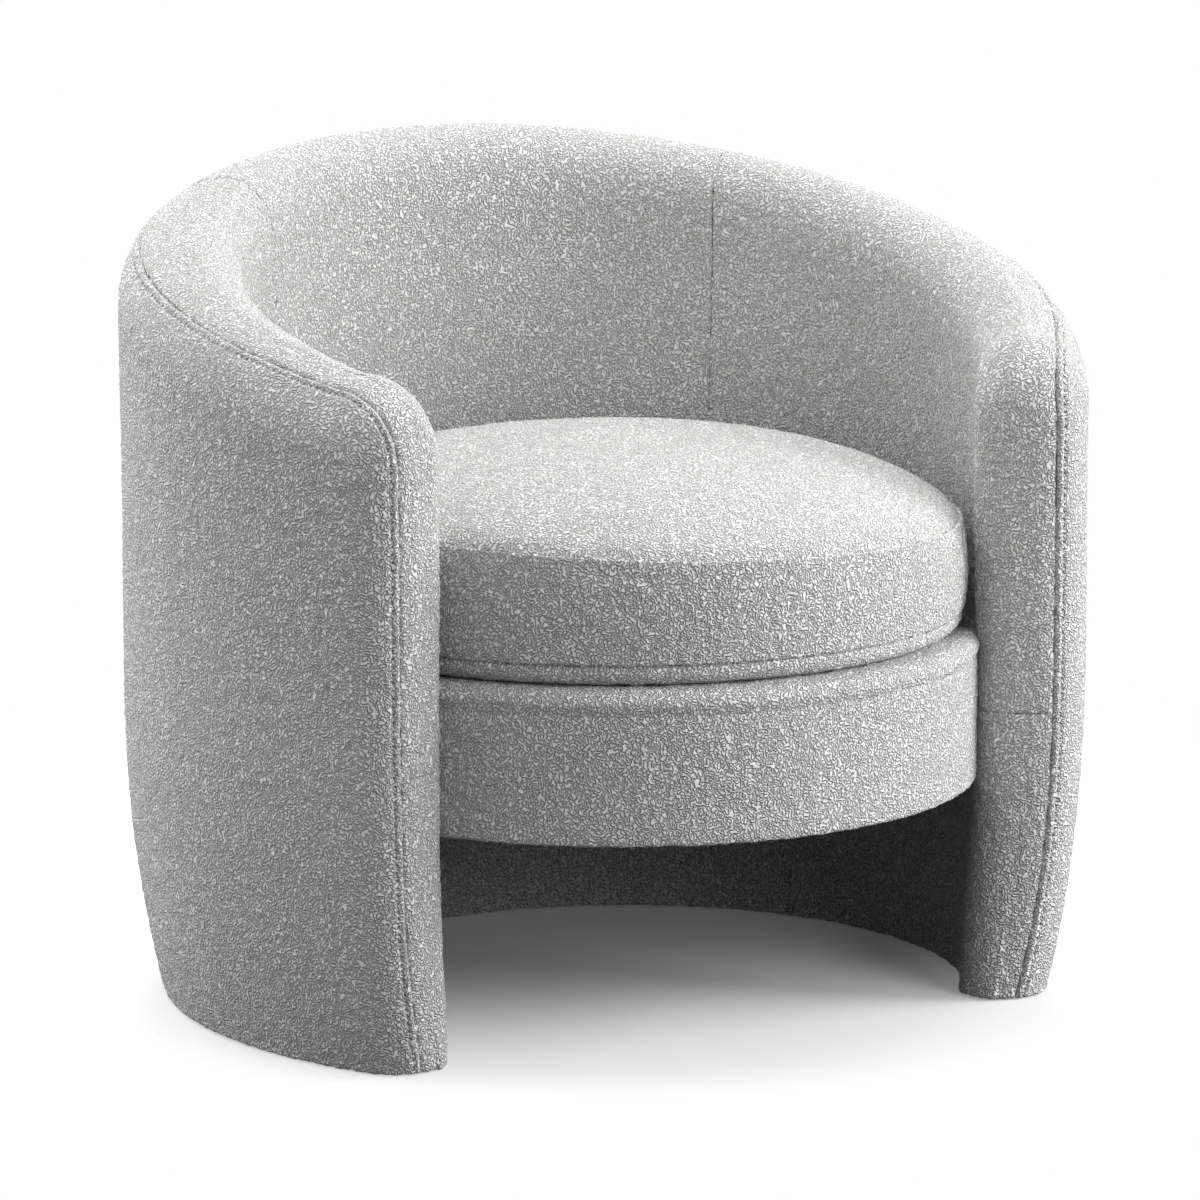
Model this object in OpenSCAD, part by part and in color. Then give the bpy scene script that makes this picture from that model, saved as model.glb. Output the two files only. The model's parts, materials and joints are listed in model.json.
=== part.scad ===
// Round tub chair: a C-shaped upholstered shell down to the floor, a drum-shaped
// seat deck hung between its arms, and a loose round seat cushion.
// +Z is up and the front faces -Y. The origin lies on the floor, at the middle of
// the chair's width and depth. Angles in plan run from the middle of the back (0)
// round to each arm front (plus or minus arm_angle), about the seat's centre.

/* [Shell outline] */
// Thickness of the shell's wall beside the deck, before its centre moves back
shell_wall_t = 108; // [104:1:120]
// How far the shell's centre lies behind the seat's centre
shell_back_off = 35; // [25:1:45]
// Angle from the middle of the back to the front of each arm
arm_angle = 125.8; // [121:0.2:129]
// Height of the back above the floor
back_h = 702; // [670:1:740]
// How far the arms' slope would lie under the back at the arm fronts
arm_drop = 149; // [120:1:160]
// Radius of the corner where an arm's top turns down its front
arm_corner_r = 66; // [64:1:80]
// How far the outside draws in at the floor
foot_taper = 30; // [10:1:36]
// Height where the outside starts to draw in
foot_taper_h = 300; // [240:5:320]
// Rounding of the top's outer edge
top_round_out = 50; // [42:1:52]
// Rounding of the top's inner edge
top_round_in = 28; // [26:1:32]
// Rounding of an arm front's outer edge
front_round_out = 36; // [30:1:38]
// Rounding of an arm front's inner edge
front_round_in = 16; // [12:1:20]
// How much smaller than the deck's radius the inside wall's is at the floor
inside_floor_in = 13; // [7:1:19]
// How far the inside wall's centre lies before the seat's centre at the floor
inside_floor_off = 8; // [0:1:12]
// How much larger than the deck's radius the inside wall's is at the top of the back
inside_top_out = 15; // [11:1:21]
// How far the inside wall's centre lies behind the seat's centre at the top
inside_top_off = 31; // [20:1:36]
// Gap between the deck's side and the inside wall
deck_side_gap = 1.5; // [1:0.1:3]

/* [Upholstery layers] */
// Thickness of the boucle covers
cover_t = 4; // [3:0.5:5]
// Foam on the inside wall, under the cover
inside_foam_t = 20; // [14:1:24]
// Wadding on the outside wall, under the cover
outside_wadding_t = 8; // [5:1:10]
// Foam over the top and the arm fronts, under the cover
rim_foam_t = 18; // [12:1:20]
// Angle of the seams between the inside back and the inside arms
inside_seam_angle = 40; // [34:1:46]
// Height of the joint between the covers on the arm fronts above the deck's lower edge
front_joint_up = 61; // [40:1:90]

/* [Shell frame] */
// Thickness of the plywood rings
ring_t = 18; // [15:1:21]
// Thickness of the inside bending board
inside_board_t = 5; // [4:0.5:6]
// Thickness of the outside board
outside_board_t = 3; // [2:0.5:4]
// Thickness of the upright ribs
rib_t = 15; // [12:1:18]
// Height of the glides under the base
glide_h = 3; // [2:0.5:6]
// Radius of a glide
glide_r = 10; // [7:0.5:11]
// Radius of the ribs' screws
screw_r = 2; // [1.5:0.1:2.5]
// Length of the ribs' screws
screw_len = 45; // [35:1:60]

/* [Seat deck] */
// Radius of the deck
deck_r = 303; // [296:1:308]
// Height of the deck's lower edge above the floor
deck_bottom_z = 189; // [170:1:200]
// Height of the deck from its lower edge to its top
deck_h = 128; // [120:1:140]
// Height of the deck's top cover, over its seam
deck_lip_h = 20; // [17:1:28]
// Rounding of the deck's top edge
deck_edge_r = 12; // [6:1:14]
// Foam on the deck's side
deck_band_foam_t = 15; // [10:1:18]
// Foam on the deck's top
deck_foam_t = 22; // [16:1:26]
// Thickness of the bent plywood hoop
hoop_t = 12; // [9:1:15]
// Thickness of the two spring rails
spring_rail_t = 20; // [16:1:24]
// Distance of the spring rails' middles from the deck's front and back
spring_rail_inset = 103; // [91:1:120]
// Space under the spring rails, over the hoop's lower edge
spring_rail_lift = 19; // [10:1:40]
// Radius of the hoop's bolts
bolt_r = 4; // [3:0.5:5]
// Length of the hoop's bolts under their heads
bolt_len = 60; // [50:1:75]

/* [Springs] */
// Number of sinuous springs
spring_count = 5; // [3:1:5]
// Space between the outer springs and the hoop
spring_side_gap = 10; // [8:1:14]
// Radius of the spring wire
spring_wire_r = 1.9; // [1.5:0.1:2.3]
// Width of a spring from bend to bend
spring_w = 46; // [40:1:50]
// Number of bends in a spring
spring_bends = 14; // [10:2:18]
// Rise of a spring's middle above its ends
spring_arch = 8; // [4:1:10]

/* [Seat cushion] */
// How far the cushion's side lies inside the deck's
cushion_in = 7; // [5:1:17]
// How far the cushion's border swells out between its seams
cushion_bulge = 6; // [4:1:12]
// Height of the cushion's top seam above the deck
cushion_seam_h = 120; // [100:1:135]
// Rise of the cushion's crown over its top seam
crown_rise = 41; // [20:1:50]
// Rounding of the cushion's lower edge
cushion_edge_r = 12; // [8:1:20]
// Wadding round the cushion's foam
cushion_wrap_t = 10; // [6:1:14]
// Width of the gap between the zip's two tapes
zip_gap = 6; // [5:0.5:8]
// Half of the angle that the zip spans at the cushion's back
zip_angle = 62; // [40:1:75]
// Space left between the cushion and the deck
rest_gap = 0.3; // [0.2:0.1:0.5]

/* [Hidden] */

// Colours of the finishes
boucle_col = [0.80, 0.80, 0.80];
lining_col = [0.17, 0.17, 0.17];
foam_col = [0.95, 0.90, 0.70];
wadding_col = [0.96, 0.96, 0.96];
ply_col = [0.82, 0.66, 0.45];
beech_col = [0.78, 0.58, 0.38];
board_col = [0.60, 0.45, 0.30];
steel_col = [0.62, 0.63, 0.65];
nylon_col = [0.12, 0.12, 0.13];

// Main radii and heights
shell_r = deck_r + shell_wall_t;
inside_floor_r = deck_r - inside_floor_in;
inside_top_r = deck_r + inside_top_out;
cushion_r = deck_r - cushion_in;
cushion_seam_r = cushion_r - cushion_bulge;
arm_h = back_h - arm_drop;
deck_top_z = deck_bottom_z + deck_h;
deck_seam_z = deck_top_z - deck_lip_h;
front_joint_z = deck_bottom_z + front_joint_up;
cushion_crown_h = cushion_seam_h + crown_rise;

// The seat's centre stands before the origin, so that the chair's depth is centred
seat_y = -(shell_back_off + shell_r - deck_r) / 2;
// Mean radius that turns a distance from an arm's front into an angle
arm_mean_r = (shell_r + deck_r) / 2;
// Shape of the top's fall from the back to the arms
fall_share = 1.91;
// Power of the outside's draw towards the floor
taper_power = 2.6;
// Place of the zip's slider, as a share of half the zip's angle
slider_place_share = 0.94;
// Rows up the foot, as shares of the height where the outside draws in
foot_row_shares = [0.06, 0.15, 0.32];
// Slack between a flat wooden edge and a faceted board
board_slack = 0.3;
// Named overrun for cuts
cut = 1;
// Clearance of a fastener in its hole
hole_slack = 0.1;

// Radius of the inside wall beside the deck
inside_deck_r = deck_r + deck_side_gap;

quarter_a = 90;
// Grid of the shell's faces: rows go up, columns go round from the left arm's front
corner_cols = 3;
arm_cols = 9;
back_cols = 10;
nc = 2 * corner_cols + 2 * arm_cols + back_cols + 1;
row_z = concat([glide_h], foot_taper_h * foot_row_shares, [deck_bottom_z, front_joint_z, deck_top_z]);
nv = len(row_z) + 1;
// Rows beside the deck, where the wall is left open for the frame
open_row = 4;
joint_row = 5;
closed_row = 6;
// Steps of the rounding from the rim's flat to the wall
nb = 3;
ns = 2 * nv + nc - 2;
// Columns of the seams
back_seam_col = corner_cols + arm_cols;
lower_seam_step = 7;
lower_seam_col = corner_cols + lower_seam_step;
// The outer seam lies at this angle of the outer rounding, at the arms and at the back
seam_arm_a = 24;
seam_back_a = 62;
seam_power = 1.2;

// Inset of the frame's outline from the finished faces
frame_in = cover_t + inside_foam_t;
frame_out = cover_t + outside_wadding_t;
frame_rim = cover_t + rim_foam_t;
frame_edge_r = 4;

// Functions of the shell's surface
function arm_ang(e) = arm_angle - e / arm_mean_r * 180 / PI;
function top_h(a) = back_h - (back_h - arm_h) * (fall_share * pow(abs(a) / arm_angle, 2)
                    + (1 - fall_share) * pow(abs(a) / arm_angle, 3));
function polar_r(r, off, a) = off * cos(a) + sqrt(r * r - pow(off * sin(a), 2));
function taper(z) = z < foot_taper_h ? foot_taper * pow(1 - z / foot_taper_h, taper_power) : 0;
function out_r(a, z) = polar_r(shell_r - taper(z), shell_back_off, a);
function in_circle_r(z) = lookup(z, [[0, inside_floor_r], [deck_bottom_z, inside_deck_r],
                                     [deck_top_z, inside_deck_r], [back_h, inside_top_r]]);
function in_circle_off(z) = lookup(z, [[0, -inside_floor_off], [deck_bottom_z, 0],
                                       [deck_top_z, 0], [back_h, inside_top_off]]);
function in_r(a, z) = polar_r(in_circle_r(z), in_circle_off(z), a);
function at(a, r, z) = [r * sin(a), seat_y + r * cos(a), z];

// Columns: m counts from the nearer arm front
corner_a = arm_ang(arm_corner_r);
corner_z = top_h(corner_a) - arm_corner_r;
function col_m(c) = min(c, nc - 1 - c);
function col_sign(c) = c <= (nc - 1) / 2 ? -1 : 1;
function top_a(i) = i < arm_cols ? corner_a - (corner_a - inside_seam_angle) * i / arm_cols
                    : inside_seam_angle * (1 - 2 * (i - arm_cols) / back_cols);
// Angle and height of a rim point of column c, at depth d below the outline inset by tr
function rim_point(c, d, tr) =
    let (m = col_m(c), q = arm_corner_r - tr - d, th = quarter_a * m / corner_cols)
    m < corner_cols ? [col_sign(c) * arm_ang(arm_corner_r - q * cos(th)), corner_z + q * sin(th)]
    : let (a = top_a(m - corner_cols)) [col_sign(c) * a, top_h(a) - tr - d];
function round_at(c, top_v, front_v) = front_v + (top_v - front_v) * min(1, col_m(c) / corner_cols);

// Column and row of a point along the outline
function ring_c(s) = s < nv ? 0 : s < nv + nc - 2 ? s - nv + 1 : nc - 1;
function ring_k(s) = s < nv ? s : s < nv + nc - 2 ? nv - 1 : 2 * nv + nc - 3 - s;
function grid_point(c, k, d, tr) = let (p = rim_point(c, d, tr)) k == nv - 1 ? p : [p[0], row_z[k]];

// Angles of the rounding's steps: level 1 carries the outer seam
function seam_a(c) = seam_arm_a + (seam_back_a - seam_arm_a)
                     * pow(1 - abs(rim_point(c, 0, 0)[0]) / arm_angle, seam_power);
function out_step(c, j) = j == 0 ? 0 : seam_a(c) + (quarter_a - seam_a(c)) * (j - 1) / (nb - 1);
function in_step(j) = quarter_a * j / nb;

// One face set: t is inset [inside, outside, rim], ri and ro are [top, front] roundings,
// and di is the inside's depth of rounding, where it differs from ri
function wall_radius(side, a, z, t) = side == 0 ? out_r(a, z) - t[1] : in_r(a, z) + t[0];
function band_pt(side, s, j, t, rad, dep) =
    let (c = ring_c(s), k = ring_k(s), th = side == 0 ? out_step(c, j) : in_step(j),
         rr = round_at(c, rad[0], rad[1]), dd = round_at(c, dep[0], dep[1]),
         p = grid_point(c, k, dd * (1 - cos(th)), t[2]), f = rr * (1 - sin(th)))
    at(p[0], wall_radius(side, p[0], p[1], t) + (side == 0 ? -f : f), p[1]);
function grid_pt(side, c, k, t, dep) =
    let (p = grid_point(c, k, round_at(c, dep[0], dep[1]), t[2]))
    at(p[0], wall_radius(side, p[0], p[1], t), p[1]);
function face_points(t, ro, ri, di) = concat(
    [for (c = [0:nc - 1], k = [0:nv - 1]) grid_pt(0, c, k, t, ro)],
    [for (j = [0:nb - 1], s = [0:ns - 1]) band_pt(0, s, j, t, ro, ro)],
    [for (j = [0:nb - 1], s = [0:ns - 1]) band_pt(1, s, j, t, ri, di)],
    [for (c = [0:nc - 1], k = [0:nv - 1]) grid_pt(1, c, k, t, di)]);

// Index of each point
n_grid = nc * nv;
n_band = nb * ns;
function og(c, k) = c * nv + k;
function ob(j, s) = j == nb ? og(ring_c(s), ring_k(s)) : n_grid + j * ns + s;
function ib(j, s) = j == nb ? ig(ring_c(s), ring_k(s)) : n_grid + n_band + j * ns + s;
function ig(c, k) = n_grid + 2 * n_band + c * nv + k;
function two(q) = [[q[0], q[1], q[2]], [q[0], q[2], q[3]]];
function out_grid(c0, c1, k0, k1) = [for (c = [c0:1:c1 - 1], k = [k0:1:k1 - 1])
    each two([og(c, k), og(c + 1, k), og(c + 1, k + 1), og(c, k + 1)])];
function in_grid(c0, c1, k0, k1) = [for (c = [c0:1:c1 - 1], k = [k0:1:k1 - 1])
    each two([ig(c, k + 1), ig(c + 1, k + 1), ig(c + 1, k), ig(c, k)])];
function out_band(s0, s1, j0, j1) = [for (s = [s0:1:s1 - 1], j = [j0:1:j1 - 1])
    each two([ob(j + 1, s), ob(j + 1, s + 1), ob(j, s + 1), ob(j, s)])];
function in_band(s0, s1) = [for (s = [s0:1:s1 - 1], j = [0:nb - 1])
    each two([ib(j, s), ib(j, s + 1), ib(j + 1, s + 1), ib(j + 1, s)])];
function rim_band(s0, s1) = [for (s = [s0:1:s1 - 1])
    each two([ob(0, s), ob(0, s + 1), ib(0, s + 1), ib(0, s)])];
function ring_of_col(c) = nv - 1 + c;

// The faces that the layers lie between
function finish_pts(t) = face_points([t, t, t],
    [top_round_out - t, front_round_out - t], [top_round_in - t, front_round_in - t],
    [top_round_in - t, front_round_in - t]);
frame_round = [top_round_out - frame_out, front_round_out - frame_out];
frame_edge = [frame_edge_r, frame_edge_r];
function frame_pts() = face_points([frame_in, frame_out, frame_rim], frame_round, frame_edge, frame_round);
function board_pts(ti, to) = face_points([ti, to, frame_rim], frame_round, [0, 0], frame_round);

// A closed slab between two face sets, over the triangles in tris. Its side walls are
// split alike on both sides of a joint, so two slabs that meet there share their faces.
module slab(a, b, tris) {
    n = len(a);
    big = 2 * n;
    edges = [for (t = tris) each [[t[0], t[1]], [t[1], t[2]], [t[2], t[0]]]];
    codes = [for (e = edges) e[0] * big + e[1]];
    backs = [for (e = edges) e[1] * big + e[0]];
    found = search(backs, codes, 1);
    rim = [for (i = [0:len(edges) - 1]) if (!is_num(found[i])) edges[i]];
    polyhedron(points = concat(a, b), faces = concat(tris,
        [for (t = tris) [t[2] + n, t[1] + n, t[0] + n]],
        [for (e = rim) each e[0] < e[1] ? [[e[1], e[0], e[1] + n], [e[0], e[0] + n, e[1] + n]]
                                        : [[e[1], e[0], e[0] + n], [e[1], e[0] + n, e[1] + n]]]));
}

// Rounded rail between outline points s0 and s1: it fills the frame's rim, and the edges of
// both boards lie against its flat side
module rim_rail(s0, s1) {
    t = [frame_in, frame_out, frame_rim];
    boards = [frame_in + inside_board_t, frame_out + outside_board_t, frame_rim];
    loop = [for (s = [s0:s1]) concat(
        [for (j = [nb:-1:0]) band_pt(0, s, j, t, frame_round, frame_round)],
        [for (j = [0:nb]) band_pt(1, s, j, t, frame_edge, frame_round)],
        [for (side = [1, 0]) band_pt(side, s, nb, boards, [0, 0], frame_round)])];
    m = len(loop[0]);
    n = len(loop);
    polyhedron(points = [for (l = loop) each l], faces = concat(
        [for (i = [0:n - 2], j = [0:m - 2]) each two([i * m + j, (i + 1) * m + j,
            (i + 1) * m + j + 1, i * m + j + 1])],
        [for (i = [0:n - 2]) each two([(i + 2) * m - 1, (i + 1) * m, i * m, (i + 1) * m - 1])],
        [for (j = [1:m - 2]) [0, j, j + 1]],
        [for (j = [1:m - 2]) [(n - 1) * m, (n - 1) * m + j + 1, (n - 1) * m + j]]));
}

module turn(a) {
    translate([0, seat_y, 0])
    rotate([0, 0, 90 - a])
    children();
}

// Sector of a disc between plan angles a0 and a1, by way of the back or the front
module sector(a0, a1, r) {
    steps = 24;
    polygon(concat([[0, seat_y]],
        [for (i = [0:steps]) let (a = a0 + (a1 - a0) * i / steps) [r * sin(a), seat_y + r * cos(a)]]));
}

// Flat C-shaped plate between radii about the wall's centres
module c_plate(z, t, r_out, off_out, r_in, off_in, a) {
    translate([0, 0, z])
    linear_extrude(t)
    intersection() {
        difference() {
            translate([0, seat_y + off_out])
            circle(r_out, $fn = 120);
            translate([0, seat_y + off_in])
            circle(r_in, $fn = 120);
        }
        sector(-a, a, 2 * shell_r);
    }
}

// Sizes of the shell's frame that follow from the walls
col_step = (corner_a - inside_seam_angle) / arm_cols;
facet_sag = shell_r * (1 - cos(col_step / 2));
base_top_z = glide_h + ring_t;
base_out_r = shell_r - taper(glide_h) - frame_out - outside_board_t - facet_sag - board_slack;
base_in_r = in_circle_r(base_top_z) + frame_in + inside_board_t + board_slack;
base_in_off = in_circle_off(base_top_z);
post_in = frame_rim + frame_round[1];
hoop_out_r = deck_r - cover_t - deck_band_foam_t;
hoop_in_r = hoop_out_r - hoop_t;
hoop_bottom_z = deck_bottom_z + cover_t;
felt_t = 3;
felt_z = deck_top_z - cover_t - deck_foam_t - felt_t;
ring_lift = 6;
seat_ring_z = deck_bottom_z + ring_lift;
deck_ring_z = felt_z - ring_t;
frame_a = corner_a - col_step / 20;
rib_angles = [top_a(4), inside_seam_angle, 0, -inside_seam_angle, -top_a(4)];
glide_angles = [112, 66, 22, -22, -66, -112];
bolt_angles = [100, 60, 20, -20, -60, -100];
// The boards run straight from row to row, and so do the ribs' edges
function board_rows(a) = concat(row_z, [top_h(a) - frame_rim - frame_round[0]]);
function in_line(a, z) = lookup(z, [for (r = board_rows(a)) [r, in_r(a, r)]]);
function out_line(a, z) = lookup(z, [for (r = board_rows(a)) [r, out_r(a, r)]]);
function rib_in_r(a, z) = in_line(a, z) + frame_in + inside_board_t + board_slack
                          + rib_t / 2 * abs(in_circle_off(z) * sin(a)) / inside_deck_r;
function rib_out_r(a, z) = out_line(a, z) - frame_out - outside_board_t - board_slack
                           - rib_t / 2 * (tan(col_step / 2) + shell_back_off * abs(sin(a)) / shell_r);
function rib_mid_r(a) = (rib_in_r(a, base_top_z) + rib_out_r(a, base_top_z)) / 2;
rib_half_a = rib_t / 2 / deck_r * 180 / PI;
function rib_top_z(a) = min(top_h(abs(a) + rib_half_a), top_h(abs(a) - rib_half_a))
                        - frame_rim - frame_round[0] - board_slack;

module base_ring() {
    color(ply_col)
    difference() {
        c_plate(glide_h, ring_t, base_out_r, shell_back_off, base_in_r, base_in_off, arm_ang(post_in));
        for (a = rib_angles)
            turn(a)
            translate([rib_mid_r(a), 0, glide_h - cut])
            cylinder(r = screw_r, h = ring_t + 2 * cut, $fn = 32);
    }
}

// Ring inside the shell that carries the deck's hoop, with holes for the hoop's bolts
module carrier_ring(z) {
    r_out = shell_r - taper(z) - frame_out - outside_board_t - facet_sag - board_slack;
    difference() {
        c_plate(z, ring_t, r_out, shell_back_off, hoop_out_r, 0, frame_a);
        for (a = bolt_angles)
            turn(a)
            translate([hoop_out_r - cut, 0, z + ring_t / 2])
            rotate([0, 90, 0])
            cylinder(r = bolt_r + hole_slack, h = bolt_len - hoop_t + 2 * cut, $fn = 32);
    }
}

module seat_ring() {
    color(ply_col)
    carrier_ring(seat_ring_z);
}

module deck_ring() {
    color(ply_col)
    carrier_ring(deck_ring_z);
}

module top_rail() {
    color(beech_col)
    rim_rail(nv - 1, ns - nv);
}

module arm_post_left() {
    color(beech_col)
    rim_rail(0, nv - 1);
}

module arm_post_right() {
    color(beech_col)
    rim_rail(ns - nv, ns - 1);
}

// Upright board in a radial plane, cut to the walls' slopes
module rib(a, z0, z1) {
    zs = concat([z0], [for (z = board_rows(a)) if (z > z0 && z < z1) z], [z1]);
    last = len(zs) - 1;
    turn(a)
    rotate([90, 0, 0])
    translate([0, 0, -rib_t / 2])
    linear_extrude(rib_t)
    polygon(concat([for (z = zs) [rib_in_r(a, z), z]],
                   [for (i = [last:-1:0]) [rib_out_r(a, zs[i]), zs[i]]]));
}

module lower_ribs() {
    color(ply_col)
    for (a = rib_angles)
        difference() {
            rib(a, base_top_z, seat_ring_z);
            turn(a)
            translate([rib_mid_r(a), 0, 0])
            cylinder(r = screw_r, h = glide_h + screw_len, $fn = 32);
        }
}

module upper_ribs() {
    color(ply_col)
    for (a = rib_angles)
        rib(a, felt_z, rib_top_z(a));
}

module ring_blocks() {
    color(ply_col)
    for (a = rib_angles)
        rib(a, seat_ring_z + ring_t, deck_ring_z);
}

module rib_screws() {
    color(steel_col)
    for (a = rib_angles)
        turn(a)
        translate([rib_mid_r(a), 0, glide_h])
        cylinder(r = screw_r, h = screw_len, $fn = 32);
}

module inside_board_upper() {
    color(board_col)
    slab(board_pts(frame_in, frame_out), board_pts(frame_in + inside_board_t, frame_out),
         in_grid(0, nc - 1, closed_row, nv - 1));
}

module inside_board_lower() {
    color(board_col)
    slab(board_pts(frame_in, frame_out), board_pts(frame_in + inside_board_t, frame_out),
         in_grid(0, nc - 1, 0, open_row));
}

module outside_board() {
    color(board_col)
    slab(board_pts(frame_in, frame_out), board_pts(frame_in, frame_out + outside_board_t),
         out_grid(0, nc - 1, 0, nv - 1));
}

module glides() {
    color(nylon_col)
    for (a = glide_angles)
        turn(a)
        translate([rib_mid_r(a), 0, 0])
        cylinder(r = glide_r, h = glide_h, $fn = 48);
}

// Solid of revolution about the seat's centre between plan angles a0 and a1
module revolve(a0, a1) {
    translate([0, seat_y, 0])
    rotate_extrude(angle = a1 - a0, start = 90 - a1, $fn = 180)
    children();
}

module tube_2d(r0, r1, z0, z1) {
    translate([r0, z0])
    square([r1 - r0, z1 - z0]);
}

// Half section of a drum with a rounded top edge
module drum_2d(r, z0, z1, edge) {
    tube_2d(0, r - edge, z0, z1);
    tube_2d(0, r, z0, z1 - edge);
    translate([r - edge, z1 - edge])
    intersection() {
        circle(edge, $fn = 96);
        square(edge);
    }
}

module deck_hoop() {
    color(ply_col)
    difference() {
        revolve(0, 360)
        tube_2d(hoop_in_r, hoop_out_r, hoop_bottom_z, felt_z);
        for (a = bolt_angles, z = [seat_ring_z, deck_ring_z])
            turn(a)
            translate([hoop_in_r - cut, 0, z + ring_t / 2])
            rotate([0, 90, 0])
            cylinder(r = bolt_r + hole_slack, h = hoop_t + 2 * cut, $fn = 32);
    }
}

bolt_head_r = bolt_r * 2;
bolt_head_t = bolt_r;
// The hoop is hollow there, so a flat head touches it with its corners only
bolt_seat_r = sqrt(pow(hoop_in_r, 2) - pow(bolt_head_r, 2)) - hole_slack;
module deck_bolts() {
    color(steel_col)
    for (a = bolt_angles, z = [seat_ring_z, deck_ring_z])
        turn(a)
        translate([bolt_seat_r, 0, z + ring_t / 2])
        rotate([0, 90, 0]) {
            cylinder(r = bolt_r, h = bolt_len, $fn = 32);
            translate([0, 0, -bolt_head_t])
            cylinder(r = bolt_head_r, h = bolt_head_t, $fn = 6);
        }
}

// Springs: bars across, joined by half-round bends at alternate sides
tie_r = 1.2;
spring_rail_y = deck_r - spring_rail_inset;
rail_half_len = sqrt(pow(hoop_in_r, 2) - pow(spring_rail_y + spring_rail_t / 2, 2));
spring_span = rail_half_len - spring_w / 2 - spring_side_gap;
spring_run = 2 * spring_rail_y;
spring_step = spring_run / spring_bends;
spring_bend_r = spring_step / 2;
spring_bar = spring_w / 2 - spring_bend_r;
spring_sides = 5;
bend_steps = 4;
clip_wall = 1.4;
clip_w = 20;
clip_d = 14;
spring_top_gap = 2 * tie_r + spring_wire_r + rest_gap;
spring_z = felt_z - spring_arch - spring_top_gap;
rail_top_z = spring_z - spring_wire_r - clip_wall;
rail_bottom_z = hoop_bottom_z + spring_rail_lift;
spring_xs = [for (i = [0:spring_count - 1]) spring_span * (2 * i / (spring_count - 1) - 1)];
tie_bars = [5, 9];
function spring_h(y) = spring_z + spring_arch * (1 - pow(y / spring_rail_y, 2));
function bar_y(i) = -spring_rail_y + i * spring_step;
spring_path = concat([[-clip_w / 2, bar_y(0)]],
    [for (i = [0:spring_bends - 1], j = [0:bend_steps])
        let (side = i % 2 == 0 ? 1 : -1, b = -90 + 180 * j / bend_steps)
        [side * (spring_bar + spring_bend_r * cos(b)), bar_y(i) + spring_bend_r * (1 + sin(b))]],
    [[(spring_bends % 2 == 0 ? 1 : -1) * clip_w / 2, bar_y(spring_bends)]]);

module spring() {
    n = len(spring_path);
    p = [for (q = spring_path) [q[0], q[1], spring_h(q[1])]];
    side = [for (i = [0:n - 1])
        let (t = p[min(i + 1, n - 1)] - p[max(i - 1, 0)], l = norm([t[0], t[1]])) [t[1] / l, -t[0] / l, 0]];
    polyhedron(
        points = [for (i = [0:n - 1], k = [0:spring_sides - 1])
            p[i] + spring_wire_r * (cos(360 * k / spring_sides) * side[i]
                                    + [0, 0, sin(360 * k / spring_sides)])],
        faces = concat(
            [for (i = [0:n - 2], k = [0:spring_sides - 1]) let (k1 = (k + 1) % spring_sides)
                each two([i * spring_sides + k, i * spring_sides + k1,
                          (i + 1) * spring_sides + k1, (i + 1) * spring_sides + k])],
            [[for (k = [spring_sides - 1:-1:0]) k]],
            [[for (k = [0:spring_sides - 1]) (n - 1) * spring_sides + k]]));
}

module springs() {
    color(steel_col)
    for (x = spring_xs)
        translate([x, seat_y, 0])
        spring();
}

module spring_clips() {
    h = 2 * (spring_wire_r + clip_wall);
    color(steel_col)
    for (x = spring_xs, side = [-1, 1])
        translate([x, seat_y + side * spring_rail_y, spring_z])
        difference() {
            cube([clip_w - 2 * clip_wall, clip_d, h], center = true);
            rotate([0, 90, 0])
            cylinder(r = spring_wire_r + hole_slack, h = clip_w + 2 * cut, center = true, $fn = 32);
        }
}

module spring_ties() {
    color(steel_col)
    for (i = tie_bars)
        translate([0, seat_y + bar_y(i), spring_h(bar_y(i)) + spring_wire_r + tie_r])
        rotate([0, 90, 0])
        cylinder(r = tie_r, h = 2 * spring_span + spring_w, center = true, $fn = 24);
}

module spring_rails() {
    color(beech_col)
    intersection() {
        for (side = [-1, 1])
            translate([-hoop_in_r, seat_y + side * spring_rail_y - spring_rail_t / 2,
                       rail_bottom_z])
            cube([2 * hoop_in_r, spring_rail_t, rail_top_z - rail_bottom_z]);
        translate([0, seat_y, 0])
        cylinder(r = hoop_in_r, h = deck_top_z, $fn = 180);
    }
}

module spring_felt() {
    color(lining_col)
    translate([0, seat_y, felt_z])
    cylinder(r = hoop_out_r, h = felt_t, $fn = 180);
}

deck_foam_z = felt_z + felt_t;
module deck_foam() {
    color(foam_col)
    revolve(0, 360)
    drum_2d(deck_r - cover_t, deck_foam_z, deck_top_z - cover_t, deck_edge_r - cover_t);
}

band_a = corner_a + col_step / 10;
module deck_band_foam() {
    color(foam_col)
    revolve(band_a, 360 - band_a)
    tube_2d(hoop_out_r, deck_r - cover_t, hoop_bottom_z, deck_foam_z);
}

module deck_top_cover() {
    color(boucle_col)
    revolve(0, 360)
    difference() {
        drum_2d(deck_r, deck_seam_z, deck_top_z, deck_edge_r);
        drum_2d(deck_r - cover_t, deck_seam_z - cut, deck_top_z - cover_t, deck_edge_r - cover_t);
    }
}

flange_in_r = hoop_in_r + hoop_t / 3;
module deck_band_cover() {
    color(boucle_col)
    revolve(band_a, 360 - band_a) {
        tube_2d(deck_r - cover_t, deck_r, deck_bottom_z, deck_seam_z);
        tube_2d(flange_in_r, deck_r, deck_bottom_z, hoop_bottom_z);
    }
}

dust_t = 1;
module dust_cover() {
    color(lining_col)
    translate([0, 0, hoop_bottom_z - dust_t])
    linear_extrude(dust_t) {
        translate([0, seat_y])
        circle(flange_in_r - rest_gap, $fn = 180);
        intersection() {
            translate([0, seat_y])
            circle(deck_r, $fn = 180);
            sector(-frame_a, frame_a, 2 * deck_r);
        }
    }
}

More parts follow.
